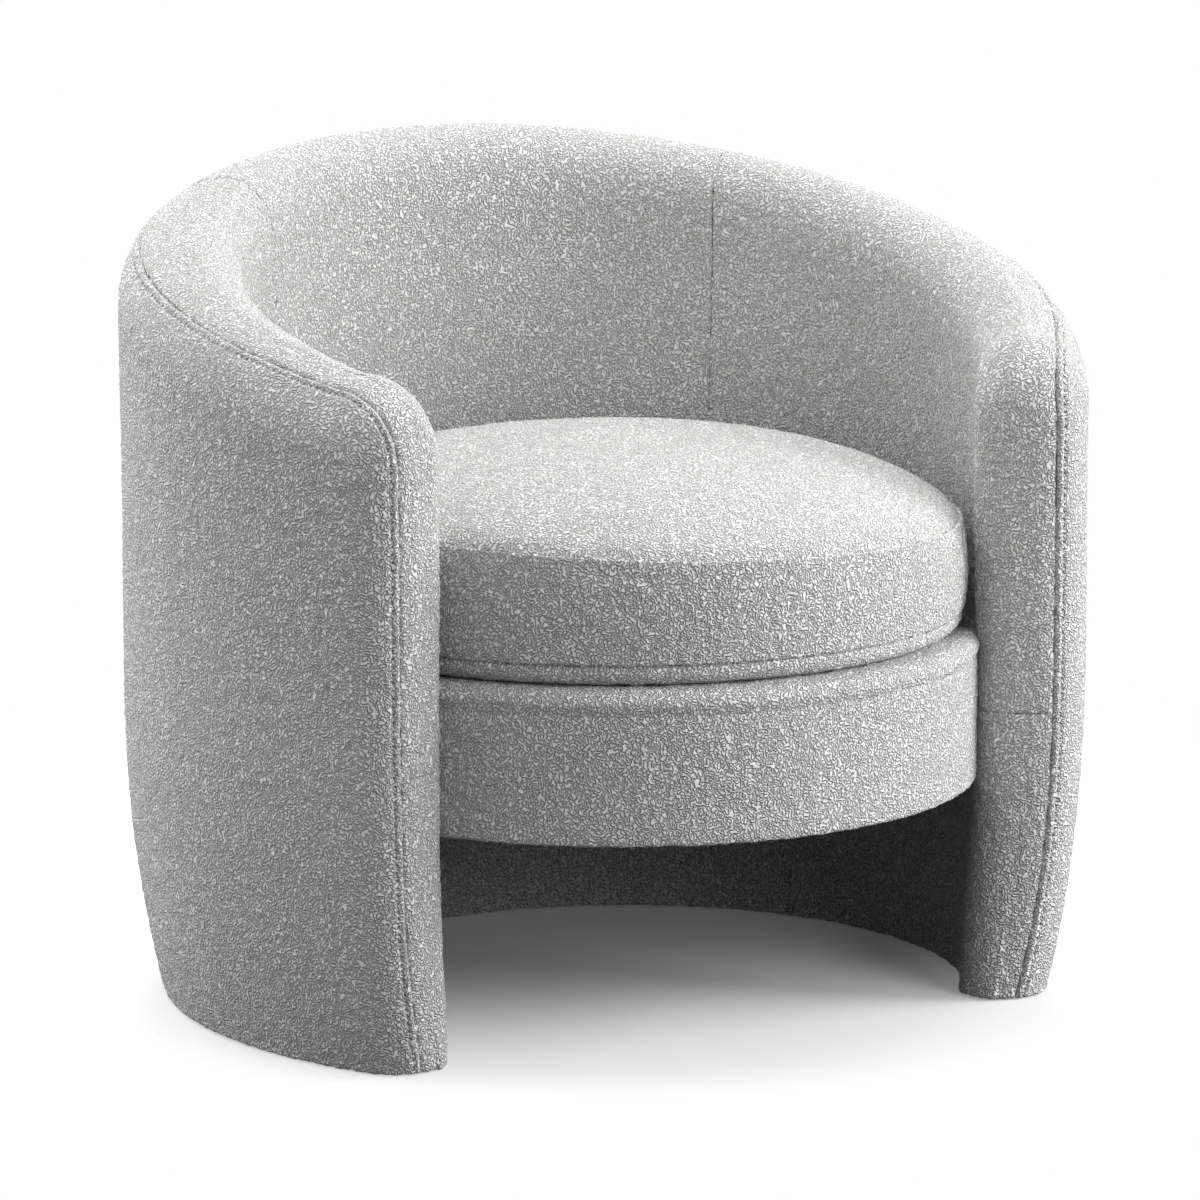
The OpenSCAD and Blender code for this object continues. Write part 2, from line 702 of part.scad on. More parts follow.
// Padding between the covers and the frame
module padding(tris) {
    color(foam_col)
    slab(finish_pts(cover_t), frame_pts(), tris);
}

module inside_back_foam() {
    padding(in_grid(back_seam_col, nc - 1 - back_seam_col, closed_row, nv - 1));
}

module inside_arm_foam_left() {
    padding(concat(in_grid(0, back_seam_col, closed_row, nv - 1),
                   in_grid(0, corner_cols, joint_row, closed_row)));
}

module inside_arm_foam_right() {
    padding(concat(in_grid(nc - 1 - back_seam_col, nc - 1, closed_row, nv - 1),
                   in_grid(nc - 1 - corner_cols, nc - 1, joint_row, closed_row)));
}

module lower_inside_foam_back() {
    padding(in_grid(lower_seam_col, nc - 1 - lower_seam_col, 0, open_row));
}

module lower_inside_foam_left() {
    padding(concat(in_grid(0, lower_seam_col, 0, open_row),
                   in_grid(0, corner_cols, open_row, joint_row)));
}

module lower_inside_foam_right() {
    padding(concat(in_grid(nc - 1 - lower_seam_col, nc - 1, 0, open_row),
                   in_grid(nc - 1 - corner_cols, nc - 1, open_row, joint_row)));
}

module rim_padding(s0, s1) {
    padding(concat(in_band(s0, s1), rim_band(s0, s1), out_band(s0, s1, 0, nb)));
}

module rim_foam_back() {
    rim_padding(ring_of_col(back_seam_col), ring_of_col(nc - 1 - back_seam_col));
}

module rim_foam_left() {
    rim_padding(0, ring_of_col(back_seam_col));
}

module rim_foam_right() {
    rim_padding(ring_of_col(nc - 1 - back_seam_col), ns - 1);
}

module outside_wadding(c0, c1) {
    color(wadding_col)
    slab(finish_pts(cover_t), frame_pts(), out_grid(c0, c1, 0, nv - 1));
}

module outside_back_wadding() {
    outside_wadding(back_seam_col, nc - 1 - back_seam_col);
}

module outside_arm_wadding_left() {
    outside_wadding(0, back_seam_col);
}

module outside_arm_wadding_right() {
    outside_wadding(nc - 1 - back_seam_col, nc - 1);
}

module cover(tris) {
    color(boucle_col)
    slab(finish_pts(0), finish_pts(cover_t), tris);
}

module inside_back_cover() {
    c0 = back_seam_col;
    c1 = nc - 1 - back_seam_col;
    s0 = ring_of_col(c0);
    s1 = ring_of_col(c1);
    cover(concat(in_grid(c0, c1, closed_row, nv - 1), in_band(s0, s1), rim_band(s0, s1),
                 out_band(s0, s1, 0, 1)));
}

// Cover of an inside arm: it wraps over the arm's top and front to the outer seam
module inside_arm_cover_left() {
    s1 = ring_of_col(back_seam_col);
    cover(concat(in_grid(0, back_seam_col, closed_row, nv - 1),
                 in_grid(0, corner_cols, joint_row, closed_row),
                 in_band(joint_row, s1), rim_band(joint_row, s1), out_band(joint_row, s1, 0, 1)));
}

module inside_arm_cover_right() {
    c0 = nc - 1 - back_seam_col;
    s0 = ring_of_col(c0);
    s1 = ns - 1 - joint_row;
    cover(concat(in_grid(c0, nc - 1, closed_row, nv - 1),
                 in_grid(nc - 1 - corner_cols, nc - 1, joint_row, closed_row),
                 in_band(s0, s1), rim_band(s0, s1), out_band(s0, s1, 0, 1)));
}

module lower_inside_cover_back() {
    cover(in_grid(lower_seam_col, nc - 1 - lower_seam_col, 0, open_row));
}

module lower_inside_cover_left() {
    cover(concat(in_grid(0, lower_seam_col, 0, open_row),
                 in_grid(0, corner_cols, open_row, joint_row),
                 in_band(0, joint_row), rim_band(0, joint_row), out_band(0, joint_row, 0, 1)));
}

module lower_inside_cover_right() {
    s0 = ns - 1 - joint_row;
    cover(concat(in_grid(nc - 1 - lower_seam_col, nc - 1, 0, open_row),
                 in_grid(nc - 1 - corner_cols, nc - 1, open_row, joint_row),
                 in_band(s0, ns - 1), rim_band(s0, ns - 1), out_band(s0, ns - 1, 0, 1)));
}

module outside_back_cover() {
    c0 = back_seam_col;
    c1 = nc - 1 - back_seam_col;
    cover(concat(out_grid(c0, c1, 0, nv - 1), out_band(ring_of_col(c0), ring_of_col(c1), 1, nb)));
}

module outside_arm_cover_left() {
    cover(concat(out_grid(0, back_seam_col, 0, nv - 1),
                 out_band(0, ring_of_col(back_seam_col), 1, nb)));
}

module outside_arm_cover_right() {
    c0 = nc - 1 - back_seam_col;
    cover(concat(out_grid(c0, nc - 1, 0, nv - 1), out_band(ring_of_col(c0), ns - 1, 1, nb)));
}

// Cushion: a bulging border between a crowned top and a flat bottom
cushion_z = deck_top_z + rest_gap;
cushion_seam_z = deck_top_z + cushion_seam_h;
cushion_mid_z = (cushion_z + cushion_seam_z) / 2;
cushion_half_h = (cushion_seam_z - cushion_z) / 2;
bulge_r = (pow(cushion_half_h, 2) + pow(cushion_bulge, 2)) / (2 * cushion_bulge);
crown_r = (pow(cushion_seam_r, 2) + pow(crown_rise, 2)) / (2 * crown_rise);
bottom_seam_z = cushion_z + cushion_edge_r;
function border_r(z, t) = cushion_r - bulge_r + sqrt(pow(bulge_r - t, 2) - pow(z - cushion_mid_z, 2));

module cushion_2d(t) {
    edge = max(cushion_edge_r - t, cover_t);
    z0 = cushion_z + t;
    r = border_r(z0 + edge, t);
    top = cushion_crown_h;
    intersection() {
        translate([cushion_r - bulge_r, cushion_mid_z])
        circle(bulge_r - t, $fn = 360);
        translate([0, deck_top_z + cushion_crown_h - crown_r])
        circle(crown_r - t, $fn = 720);
        union() {
            tube_2d(0, r - edge, z0, z0 + top);
            tube_2d(0, cushion_r, z0 + edge, z0 + top);
            translate([r - edge, z0 + edge])
            circle(edge, $fn = 96);
        }
        tube_2d(0, cushion_r, 0, deck_top_z + 2 * top);
    }
}

module cushion_shell(t0, t1, z0, z1) {
    intersection() {
        difference() {
            cushion_2d(t0);
            cushion_2d(t1);
        }
        tube_2d(0, 2 * cushion_r, z0, z1);
    }
}

module cushion_foam() {
    color(foam_col)
    revolve(0, 360)
    cushion_2d(cover_t + cushion_wrap_t);
}

module cushion_wrap() {
    color(wadding_col)
    revolve(0, 360)
    difference() {
        cushion_2d(cover_t);
        cushion_2d(cover_t + cushion_wrap_t);
    }
}

cushion_top_limit = deck_top_z + 2 * cushion_crown_h;
module cushion_top_cover() {
    color(boucle_col)
    revolve(0, 360)
    cushion_shell(0, cover_t, cushion_seam_z, cushion_top_limit);
}

module cushion_border() {
    color(boucle_col)
    revolve(zip_angle, 360 - zip_angle)
    cushion_shell(0, cover_t, bottom_seam_z, cushion_seam_z);
}

module cushion_zip_border() {
    color(boucle_col)
    revolve(-zip_angle, zip_angle) {
        cushion_shell(0, cover_t, bottom_seam_z, cushion_mid_z - zip_gap / 2);
        cushion_shell(0, cover_t, cushion_mid_z + zip_gap / 2, cushion_seam_z);
    }
}

module cushion_bottom_cover() {
    color(boucle_col)
    revolve(0, 360)
    cushion_shell(0, cover_t, cushion_z, bottom_seam_z);
}

zip_t = cover_t / 2;
module zip_chain() {
    color(nylon_col)
    revolve(-zip_angle, zip_angle)
    tube_2d(cushion_r - cover_t, cushion_r - cover_t + zip_t, cushion_mid_z - zip_gap / 2,
            cushion_mid_z + zip_gap / 2);
}

slider_a = zip_angle * slider_place_share;
slider_len = zip_gap * 2;
slider_w = zip_gap - 2 * rest_gap;
slider_r = cushion_r - cover_t + zip_t + rest_gap;
slider_t = cushion_r + rest_gap - slider_r;
pull_t = 1.2;
pull_len = 24;
pull_w = 6;
pull_hole_r = 1.6;
// Slider with rounded ends, a bridge over it and a pull that hangs from the bridge
module zip_slider() {
    color(steel_col)
    turn(slider_a)
    translate([slider_r, 0, cushion_mid_z])
    rotate([0, 90, 0]) {
        linear_extrude(slider_t) {
            square([slider_w, slider_len - slider_w], center = true);
            for (side = [-1, 1])
                translate([0, side * (slider_len - slider_w) / 2])
                circle(slider_w / 2, $fn = 48);
        }
        translate([0, 0, slider_t])
        linear_extrude(pull_t) {
            difference() {
                union() {
                    translate([0, -pull_w / 2])
                    square([pull_len, pull_w]);
                    circle(pull_w / 2, $fn = 48);
                    translate([pull_len, 0])
                    circle(pull_w / 2, $fn = 48);
                }
                translate([pull_len, 0])
                circle(pull_hole_r, $fn = 48);
            }
        }
    }
}

base_ring();
seat_ring();
deck_ring();
top_rail();
arm_post_left();
arm_post_right();
lower_ribs();
upper_ribs();
ring_blocks();
rib_screws();
inside_board_upper();
inside_board_lower();
outside_board();
glides();
deck_hoop();
spring_rails();
springs();
spring_clips();
spring_ties();
spring_felt();
deck_foam();
deck_band_foam();
deck_bolts();
deck_top_cover();
deck_band_cover();
dust_cover();
inside_back_foam();
inside_arm_foam_left();
inside_arm_foam_right();
lower_inside_foam_back();
lower_inside_foam_left();
lower_inside_foam_right();
rim_foam_back();
rim_foam_left();
rim_foam_right();
outside_back_wadding();
outside_arm_wadding_left();
outside_arm_wadding_right();
inside_back_cover();
inside_arm_cover_left();
inside_arm_cover_right();
lower_inside_cover_back();
lower_inside_cover_left();
lower_inside_cover_right();
outside_back_cover();
outside_arm_cover_left();
outside_arm_cover_right();
cushion_foam();
cushion_wrap();
cushion_top_cover();
cushion_border();
cushion_zip_border();
cushion_bottom_cover();
zip_chain();
zip_slider();
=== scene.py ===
"""Round tub chair in looped boucle: its upholstery, loose cushion and finishes on the frame.

Lengths are metres and angles in plan are degrees. A plan angle runs about the seat's centre, from
0 in the middle of the back round to each arm's front, and is negative on the left.
"""
import json
import logging
import math
from collections.abc import Callable, Sequence
from dataclasses import dataclass, field
from enum import Enum

import bpy
import numpy as np
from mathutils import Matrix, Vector, noise


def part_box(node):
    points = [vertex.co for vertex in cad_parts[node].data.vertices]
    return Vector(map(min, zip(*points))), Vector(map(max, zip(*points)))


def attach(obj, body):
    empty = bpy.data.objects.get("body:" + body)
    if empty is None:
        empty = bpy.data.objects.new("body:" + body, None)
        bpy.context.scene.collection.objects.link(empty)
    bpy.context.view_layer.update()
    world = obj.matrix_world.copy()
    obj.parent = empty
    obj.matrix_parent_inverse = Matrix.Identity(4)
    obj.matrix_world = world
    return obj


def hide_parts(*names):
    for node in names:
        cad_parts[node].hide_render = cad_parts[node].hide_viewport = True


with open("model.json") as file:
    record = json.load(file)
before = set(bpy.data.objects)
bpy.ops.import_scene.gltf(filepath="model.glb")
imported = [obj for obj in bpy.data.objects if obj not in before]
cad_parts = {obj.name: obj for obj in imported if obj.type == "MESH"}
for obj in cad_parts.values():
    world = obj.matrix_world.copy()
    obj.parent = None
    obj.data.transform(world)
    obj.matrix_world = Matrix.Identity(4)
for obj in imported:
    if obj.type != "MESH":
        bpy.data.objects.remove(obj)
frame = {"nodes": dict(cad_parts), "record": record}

LOG = logging.getLogger("tub_chair")
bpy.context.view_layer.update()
MM = 0.001
TINY = 1e-9
SEAM_MAP = "seam"

Colour = tuple[float, float, float]


class Body(Enum):
    """The bodies of the frame that upholstery rides on."""

    CHAIR = "chair"
    CUSHION = "cushion"


class Slot(Enum):
    """The record's material slots."""

    BOUCLE = "boucle"
    LINING = "lining"
    FOAM = "foam"
    WADDING = "wadding"
    PLYWOOD = "plywood"
    BEECH = "beech"
    BOARD = "board"
    STEEL = "steel"
    NYLON = "nylon"


class Region(Enum):
    """The wall of the shell that a cover lies on."""

    OUTSIDE = "outside"
    INSIDE = "inside"
    LOWER = "lower"


class Side(Enum):
    """The stretch of that wall that a cover takes."""

    LEFT = "left"
    BACK = "back"
    RIGHT = "right"


class Sock:
    """A node's output that takes part in sums, so that shader maths reads as an expression."""

    def __init__(self, shading: "Shading", socket: bpy.types.NodeSocket | None) -> None:
        """Wraps one socket.

        Args:
            shading: The material or world that the socket belongs to.
            socket: The output socket, or None for a node that has none.
        """
        self.shading = shading
        self.socket = socket

    def outputs(self) -> dict[str, "Sock"]:
        """All outputs of the same node, by name."""
        return {each.name: Sock(self.shading, each) for each in self.socket.node.outputs}

    def __add__(self, other: "Sock | float") -> "Sock":
        """self + other."""
        return self.shading.maths("ADD", self, other)

    def __radd__(self, other: float) -> "Sock":
        """other + self."""
        return self.shading.maths("ADD", other, self)

    def __sub__(self, other: "Sock | float") -> "Sock":
        """self - other."""
        return self.shading.maths("SUBTRACT", self, other)

    def __rsub__(self, other: float) -> "Sock":
        """other - self."""
        return self.shading.maths("SUBTRACT", other, self)

    def __mul__(self, other: "Sock | float") -> "Sock":
        """self * other."""
        return self.shading.maths("MULTIPLY", self, other)

    def __rmul__(self, other: float) -> "Sock":
        """other * self."""
        return self.shading.maths("MULTIPLY", other, self)

    def __pow__(self, other: "Sock | float") -> "Sock":
        """self to the power of other."""
        return self.shading.maths("POWER", self, other)

    def __abs__(self) -> "Sock":
        """The size of self without its sign."""
        return self.shading.maths("ABSOLUTE", self)

    def ramp(self, low: float, high: float) -> "Sock":
        """Goes smoothly from 0 where self is low to 1 where it is high; low may be above high."""
        return self.shading.node("MapRange", {"interpolation_type": "SMOOTHSTEP"}, "Result",
                                 Value=self, From_Min=low, From_Max=high)


class Shading:
    """One material or world under construction."""

    def __init__(self, tree: bpy.types.NodeTree) -> None:
        """Empties the tree.

        Args:
            tree: The node tree to build in.
        """
        self.tree = tree
        tree.nodes.clear()

    def feed(self, socket: bpy.types.NodeSocket, value: object) -> None:
        """Links an output to an input socket, or sets the socket's value.

        Args:
            socket: The input socket.
            value: The output or the value.
        """
        if isinstance(value, Sock):
            self.tree.links.new(value.socket, socket)
        else:
            socket.default_value = value

    def maths(self, operation: str, *values: Sock | float) -> Sock:
        """Adds a Math node.

        Args:
            operation: Its operation.
            values: Its values or outputs, in order.

        Returns:
            The node's output.
        """
        return self.node("Math", {"operation": operation},
                         **{f"i{place}": value for place, value in enumerate(values)})

    def node(self, kind: str, settings: dict[str, object] | None = None, output: str | int = 0,
             **inputs: object) -> Sock:
        """Adds a node.

        Args:
            kind: The node's type, after ShaderNode.
            settings: Its own settings, set first.
            output: Name or number of the output that is returned.
            inputs: Values or outputs by socket: its name, with _ for a space, or i and its number.

        Returns:
            The chosen output.
        """
        node = self.tree.nodes.new("ShaderNode" + kind)
        for name, value in (settings or {}).items():
            setattr(node, name, value)
        for name, value in inputs.items():
            key = int(name[1:]) if name[1:].isdigit() else name.replace("_", " ")
            self.feed(node.inputs[key], value)
        return Sock(self, node.outputs[output] if len(node.outputs) else None)

    def mix(self, factor: Sock | float, first: object, second: object) -> Sock:
        """Mixes two colours, from the first at factor 0 to the second at 1."""
        return self.node("Mix", {"data_type": "RGBA"}, 2, i0=factor, i6=first, i7=second)

    def place(self) -> Sock:
        """The point in the object's coordinates."""
        return self.node("TexCoord", output="Object")

    def stretch(self, scale: Sequence[float]) -> Sock:
        """The object's coordinates, scaled apart along each axis."""
        return self.node("Mapping", Vector=self.place(), Scale=tuple(scale))

    def noise(self, at: Sock, scale: float, detail: float = 0.0, distortion: float = 0.0) -> Sock:
        """Smooth noise between 0 and 1.

        Args:
            at: The point.
            scale: Features per metre.
            detail: Number of finer layers.
            distortion: How much the pattern is pulled about.

        Returns:
            The noise's value.
        """
        return self.node("TexNoise", Vector=at, Scale=scale, Detail=detail,
                         Distortion=distortion)


def grey(value: float, warm: float = 0.0) -> tuple[float, float, float, float]:
    """A grey, a little warmer where warm is above zero and cooler below."""
    return (value * (1 + warm), value, value * (1 - warm), 1.0)


def opaque(colour: Colour, share: float = 1.0) -> tuple[float, float, float, float]:
    """A colour with full alpha, darker where the share is below 1."""
    return (*(part * share for part in colour), 1.0)


@dataclass(frozen=True)
class Finish:
    """A plain base for the chair's finishes."""

    name: str
    slot: Slot

    def material(self) -> bpy.types.Material:
        """Makes the finish's material, once.

        Returns:
            The material.
        """
        title = self.name + "_finish"
        made = bpy.data.materials.get(title)
        if made is None:
            made = bpy.data.materials.new(title)
            made.use_nodes = True
            shading = Shading(made.node_tree)
            shading.node("OutputMaterial", Surface=self.surface(shading))
        return made

    def surface(self, shading: Shading) -> Sock:
        """The finish's shader, built in a material's tree."""
        raise NotImplementedError


@dataclass(frozen=True)
class Boucle(Finish):
    """Looped wool cloth: winding ridges of yarn with thin grooves between them.

    The grooves are darkened with painted shade, and the ridges' tops are lightened with painted
    highlights.

    Attributes:
        loop: Loops per metre.
        bend: Scale of the noise that bends the yarn, as a share of the loops'.
        pull: How far that noise moves the pattern.
        groove: Reach of a groove's wall, in the height of the loops' noise.
        pit_edge: Where the grooves' painted shade has turned to the body's grey, in grooves.
        crest_edges: Where the body's grey turns to the ridges' painted highlight, in grooves.
            crest, body, pit: Painted highlight on the ridges' tops,
            the grey of their sides, and painted shade in the grooves.
        shade, shade_tone: Share of the broad darker patches, and their tone against the body's.
        depth: Height of the yarn.
        tuft_loops, tuft_share: Loops to a tuft, and the tufts' share of the height.
        stitched: Whether a row of stitches follows the seam map.
        stitch_depth, stitch_shade: How deep a stitch's dimple is, and how strongly painted shade
            darkens it.
    """

    name: str = "boucle"
    slot: Slot = Slot.BOUCLE
    loop: float = 370.0
    bend: float = 0.6
    pull: float = 2 * MM
    groove: float = 0.23
    pit_edge: float = 0.6
    crest_edges: tuple[float, float] = (0.8, 1.8)
    # Painted highlight: the grey that lightens the ridges' tops.
    crest: float = 0.93
    body: float = 0.85
    # Painted shade: the grey that darkens the grooves.
    pit: float = 0.36
    shade: float = 0.10
    shade_tone: float = 0.7
    depth: float = 3.5 * MM
    tuft_loops: float = 4.0
    tuft_share: float = 0.2
    stitched: bool = False
    stitch_pitch: float = 6.5 * MM
    stitch_r: float = 1.3 * MM
    stitch_depth: float = 1.2
    # Painted shade in a stitch's dimple.
    stitch_shade: float = 0.8

    def surface(self, shading: Shading) -> Sock:
        """Draws the yarn between the level lines of a bent noise, with tufts, broad darker
        patches, painted shade in its grooves and painted highlights on its crests.

        Args:
            shading: The material's tree.

        Returns:
            The cloth's shader.
        """
        place = shading.place()
        drift = shading.node("TexNoise", output="Color", Vector=place,
                             Scale=self.loop * self.bend, Detail=0.0)
        bent = shading.node("VectorMath", {"operation": "MULTIPLY_ADD"}, i0=drift,
                            i1=(self.pull,) * 3, i2=place)
        yarn = abs(shading.noise(bent, self.loop) - 0.5)
        tufts = shading.noise(place, scale=self.loop / self.tuft_loops, detail=1.0)
        broad = shading.noise(place, scale=22.0, detail=2.0)
        height = yarn.ramp(0.0, self.groove) * (1 - self.tuft_share) + tufts * self.tuft_share
        # Painted shade: the grooves are drawn darker than the yarn's sides.
        leave_pit_shade = yarn.ramp(0.0, self.groove * self.pit_edge)
        # Painted highlight: the ridges' tops are drawn lighter than their sides.
        reach_highlight = yarn.ramp(*(self.groove * edge for edge in self.crest_edges))
        tone = shading.mix(leave_pit_shade, grey(self.pit, warm=0.012), grey(self.body, warm=0.006))
        tone = shading.mix(reach_highlight, tone, grey(self.crest, warm=0.004))
        patches = broad.ramp(low=0.62, high=0.36) * self.shade
        tone = shading.mix(patches, tone, grey(self.body * self.shade_tone))
        if self.stitched:
            dots = self.stitches(shading)
            height = height - dots * self.stitch_depth
            # Painted shade: each stitch's dimple is drawn darker than the grooves.
            tone = shading.mix(dots * self.stitch_shade, tone, grey(self.pit * 0.6))
        bump = shading.node("Bump", Strength=0.9, Distance=self.depth, Height=height)
        return shading.node("BsdfPrincipled", Base_Color=tone, Roughness=0.95, Normal=bump,
                            Sheen_Weight=0.15, Sheen_Roughness=0.5, Specular_IOR_Level=0.2)

    def stitches(self, shading: Shading) -> Sock:
        """Sets needle dimples along the stitched line of the piece's own seam map.

        Args:
            shading: The material's tree.

        Returns:
            1 in the middle of a dimple and 0 outside it.
        """
        seam = shading.node("UVMap", {"uv_map": SEAM_MAP})
        way = shading.node("SeparateXYZ", Vector=seam).outputs()
        step = shading.maths("PINGPONG", way["X"], self.stitch_pitch / 2)
        away = (step * step + way["Y"] * way["Y"]) ** 0.5
        return away.ramp(low=self.stitch_r, high=self.stitch_r * 0.3)


@dataclass(frozen=True)
class Wood(Finish):
    """Sawn or planed wood, with its grain along X and, for plywood, its layers across Z.

    Attributes:
        grain: Stretch of the grain along each axis.
        pores: How much finer the pores are than the grain.
        layer_t: Thickness of a plywood layer, or 0 for solid wood.
    """

    light: Colour = (0.76, 0.60, 0.40)
    dark: Colour = (0.50, 0.34, 0.18)
    grain: tuple[float, float, float] = (6.0, 60.0, 60.0)
    pores: float = 4.0
    layer_t: float = 0.0
    roughness: float = 0.6

    def surface(self, shading: Shading) -> Sock:
        """Lays long grain, fine pores and layers over each other.

        Args:
            shading: The material's tree.

        Returns:
            The wood's shader.
        """
        long_grain = shading.noise(shading.stretch(self.grain), scale=3.0, detail=4.0,
                                   distortion=0.8)
        fine = shading.stretch([axis * self.pores for axis in self.grain])
        pores = shading.noise(fine, scale=6.0, detail=2.0)
        streaks = long_grain.ramp(low=0.35, high=0.7)
        tone = shading.mix(streaks, opaque(self.light), opaque(self.dark))
        tone = shading.mix(pores.ramp(low=0.62, high=0.75) * 0.5, tone, opaque(self.dark, 0.6))
        if self.layer_t:
            up = shading.node("SeparateXYZ", Vector=shading.place()).outputs()["Z"]
            layers = shading.maths("PINGPONG", up, self.layer_t)
            glue = layers.ramp(low=self.layer_t * 0.45, high=self.layer_t * 0.55)
            tone = shading.mix(glue * 0.6, tone, opaque(self.dark, 0.75))
        bump = shading.node("Bump", Strength=0.4, Distance=0.4 * MM,
                            Height=long_grain * 0.5 + pores * 0.5)
        return shading.node("BsdfPrincipled", Base_Color=tone, Normal=bump,
                            Roughness=self.roughness + long_grain * 0.15)


@dataclass(frozen=True)
class Fibre(Finish):
    """Foam, wadding, felt and lining: a matt surface of cells or fibres, cell of them a metre."""

    light: Colour = (0.9, 0.9, 0.9)
    dark: Colour = (0.7, 0.7, 0.7)
    cell: float = 700.0
    depth: float = 0.5 * MM

    def surface(self, shading: Shading) -> Sock:
        """Draws the cells and broad shade.

        Args:
            shading: The material's tree.

        Returns:
            The fibres' shader.
        """
        place = shading.place()
        cells = shading.noise(place, scale=self.cell, detail=2.0, distortion=0.5)
        broad = shading.noise(place, scale=30.0, detail=2.0)
        walls = cells.ramp(low=0.35, high=0.65)
        tone = shading.mix(walls, opaque(self.dark), opaque(self.light))
        tone = shading.mix(broad.ramp(low=0.4, high=0.7) * 0.15, tone, opaque(self.dark))
        bump = shading.node("Bump", Strength=0.7, Distance=self.depth, Height=cells)
        return shading.node("BsdfPrincipled", Base_Color=tone, Roughness=0.95, Normal=bump,
                            Specular_IOR_Level=0.2)


@dataclass(frozen=True)
class Hard(Finish):
    """Zinc-plated steel or moulded nylon, with fine wear."""

    light: Colour = (0.55, 0.56, 0.58)
    metallic: float = 1.0
    roughness: float = 0.35

    def surface(self, shading: Shading) -> Sock:
        """Draws dull patches and a fine grain.

        Args:
            shading: The material's tree.

        Returns:
            The shader of steel or nylon.
        """
        place = shading.place()
        broad = shading.noise(place, scale=90.0, detail=3.0)
        fine = shading.noise(place, scale=1500.0, detail=2.0)
        dull = broad.ramp(low=0.4, high=0.7) * 0.3
        tone = shading.mix(dull, opaque(self.light), opaque(self.light, 0.7))
        bump = shading.node("Bump", Strength=0.2, Distance=0.1 * MM, Height=fine)
        return shading.node("BsdfPrincipled", Base_Color=tone, Normal=bump,
                            Roughness=self.roughness + (broad - 0.5) * 0.2,
                            Metallic=self.metallic)


BOUCLE = Boucle()
BOUCLE_STITCHED = Boucle(name="boucle_stitched", stitched=True)
LINING = Fibre("lining", Slot.LINING, light=(0.055, 0.055, 0.06), dark=(0.025, 0.025, 0.03),
               cell=900.0)
FOAM = Fibre("foam", Slot.FOAM, light=(0.90, 0.84, 0.60), dark=(0.72, 0.64, 0.40), cell=600.0)
WADDING = Fibre("wadding", Slot.WADDING, light=(0.92, 0.92, 0.92), dark=(0.78, 0.78, 0.80),
                cell=240.0, depth=1.5 * MM)
PLYWOOD = Wood("plywood", Slot.PLYWOOD, layer_t=1.5 * MM)
BEECH = Wood("beech", Slot.BEECH, light=(0.72, 0.54, 0.36), dark=(0.55, 0.38, 0.22),
             grain=(20.0, 20.0, 20.0))
BOARD = Wood("board", Slot.BOARD, light=(0.46, 0.34, 0.22), dark=(0.34, 0.24, 0.15),
             grain=(60.0, 60.0, 60.0), roughness=0.75)
STEEL = Hard("steel", Slot.STEEL)
NYLON = Hard("nylon", Slot.NYLON, light=(0.05, 0.05, 0.055), metallic=0.0, roughness=0.45)
FINISHES = {finish.slot: finish
            for finish in (BOUCLE, LINING, FOAM, WADDING, PLYWOOD, BEECH, BOARD, STEEL, NYLON)}


def graded(start: float, end: float, near_start: Sequence[float], near_end: Sequence[float],
           step: float) -> list[float]:
    """Sets out places between two ends, close together near them and even between.

    Args:
        start: The first place, which is kept.
        end: The last place, which is left to what follows.
        near_start: Distances from the start, growing.
        near_end: Distances from the end, growing.
        step: The even spacing between.

    Returns:
        The places in order.
    """
    way = 1 if end > start else -1
    first = [start, *(start + way * away for away in near_start)]
    last = [end - way * away for away in reversed(near_end)]
    gap = (last[0] if last else end) - first[-1]
    count = max(1, round(abs(gap) / step))
    return first + [first[-1] + gap * i / count for i in range(1, count)] + last


def smoothstep(share: np.ndarray) -> np.ndarray:
    """An even rise from 0 to 1, without a kink at either end."""
    return share * share * (3 - 2 * share)


def smooth_normals(points: np.ndarray, faces: np.ndarray) -> np.ndarray:
    """Works out the outward normals of a surface's points.

    Args:
        points: The points, one row each.
        faces: Its four-sided faces, one row each.

    Returns:
        A unit vector for each point.
    """
    corners = points[faces]
    across = np.cross(corners[:, 2] - corners[:, 0], corners[:, 3] - corners[:, 1])
    normals = np.zeros_like(points)
    for place in range(4):
        np.add.at(normals, faces[:, place], across)
    return normals / np.maximum(np.linalg.norm(normals, axis=1, keepdims=True), TINY)


def at_level(plan: np.ndarray, reach: float, z: float) -> np.ndarray:
    """Points of a unit plan figure, scaled and set at one height."""
    return np.column_stack([plan * reach, np.full(len(plan), z)])


def strip(low: np.ndarray, high: np.ndarray) -> np.ndarray:
    """Faces between two closed rings of point numbers, the second above the first."""
    return np.stack([low, np.roll(low, -1), np.roll(high, -1), high], axis=-1)


def disc_grid(cells: int) -> tuple[np.ndarray, np.ndarray, np.ndarray]:
    """Maps a square grid evenly onto a unit disc, so that a round piece needs no pole.

    Args:
        cells: Number of cells along a side.

    Returns:
        The points, the order of the rim's points round the disc, and the faces, which look up.
    """
    places = np.linspace(-1, 1, cells + 1)
    u, v = np.meshgrid(places, places, indexing="ij")
    reach = np.maximum(np.abs(u), np.abs(v))
    flat = np.minimum(np.abs(u), np.abs(v)) / np.maximum(reach, TINY)
    turn = np.where(np.abs(u) >= np.abs(v), flat * np.pi / 4, np.pi / 2 - flat * np.pi / 4)
    points = np.stack([np.sign(u) * reach * np.cos(turn), np.sign(v) * reach * np.sin(turn)],
                      axis=-1)
    ids = np.arange((cells + 1) ** 2).reshape(cells + 1, cells + 1)
    rim = np.concatenate([ids[:-1, 0], ids[-1, :-1], ids[::-1][:-1, -1], ids[0, ::-1][:-1]])
    quads = np.stack([ids[:-1, :-1], ids[1:, :-1], ids[1:, 1:], ids[:-1, 1:]], axis=-1)
    return points.reshape(-1, 2), rim, quads.reshape(-1, 4)


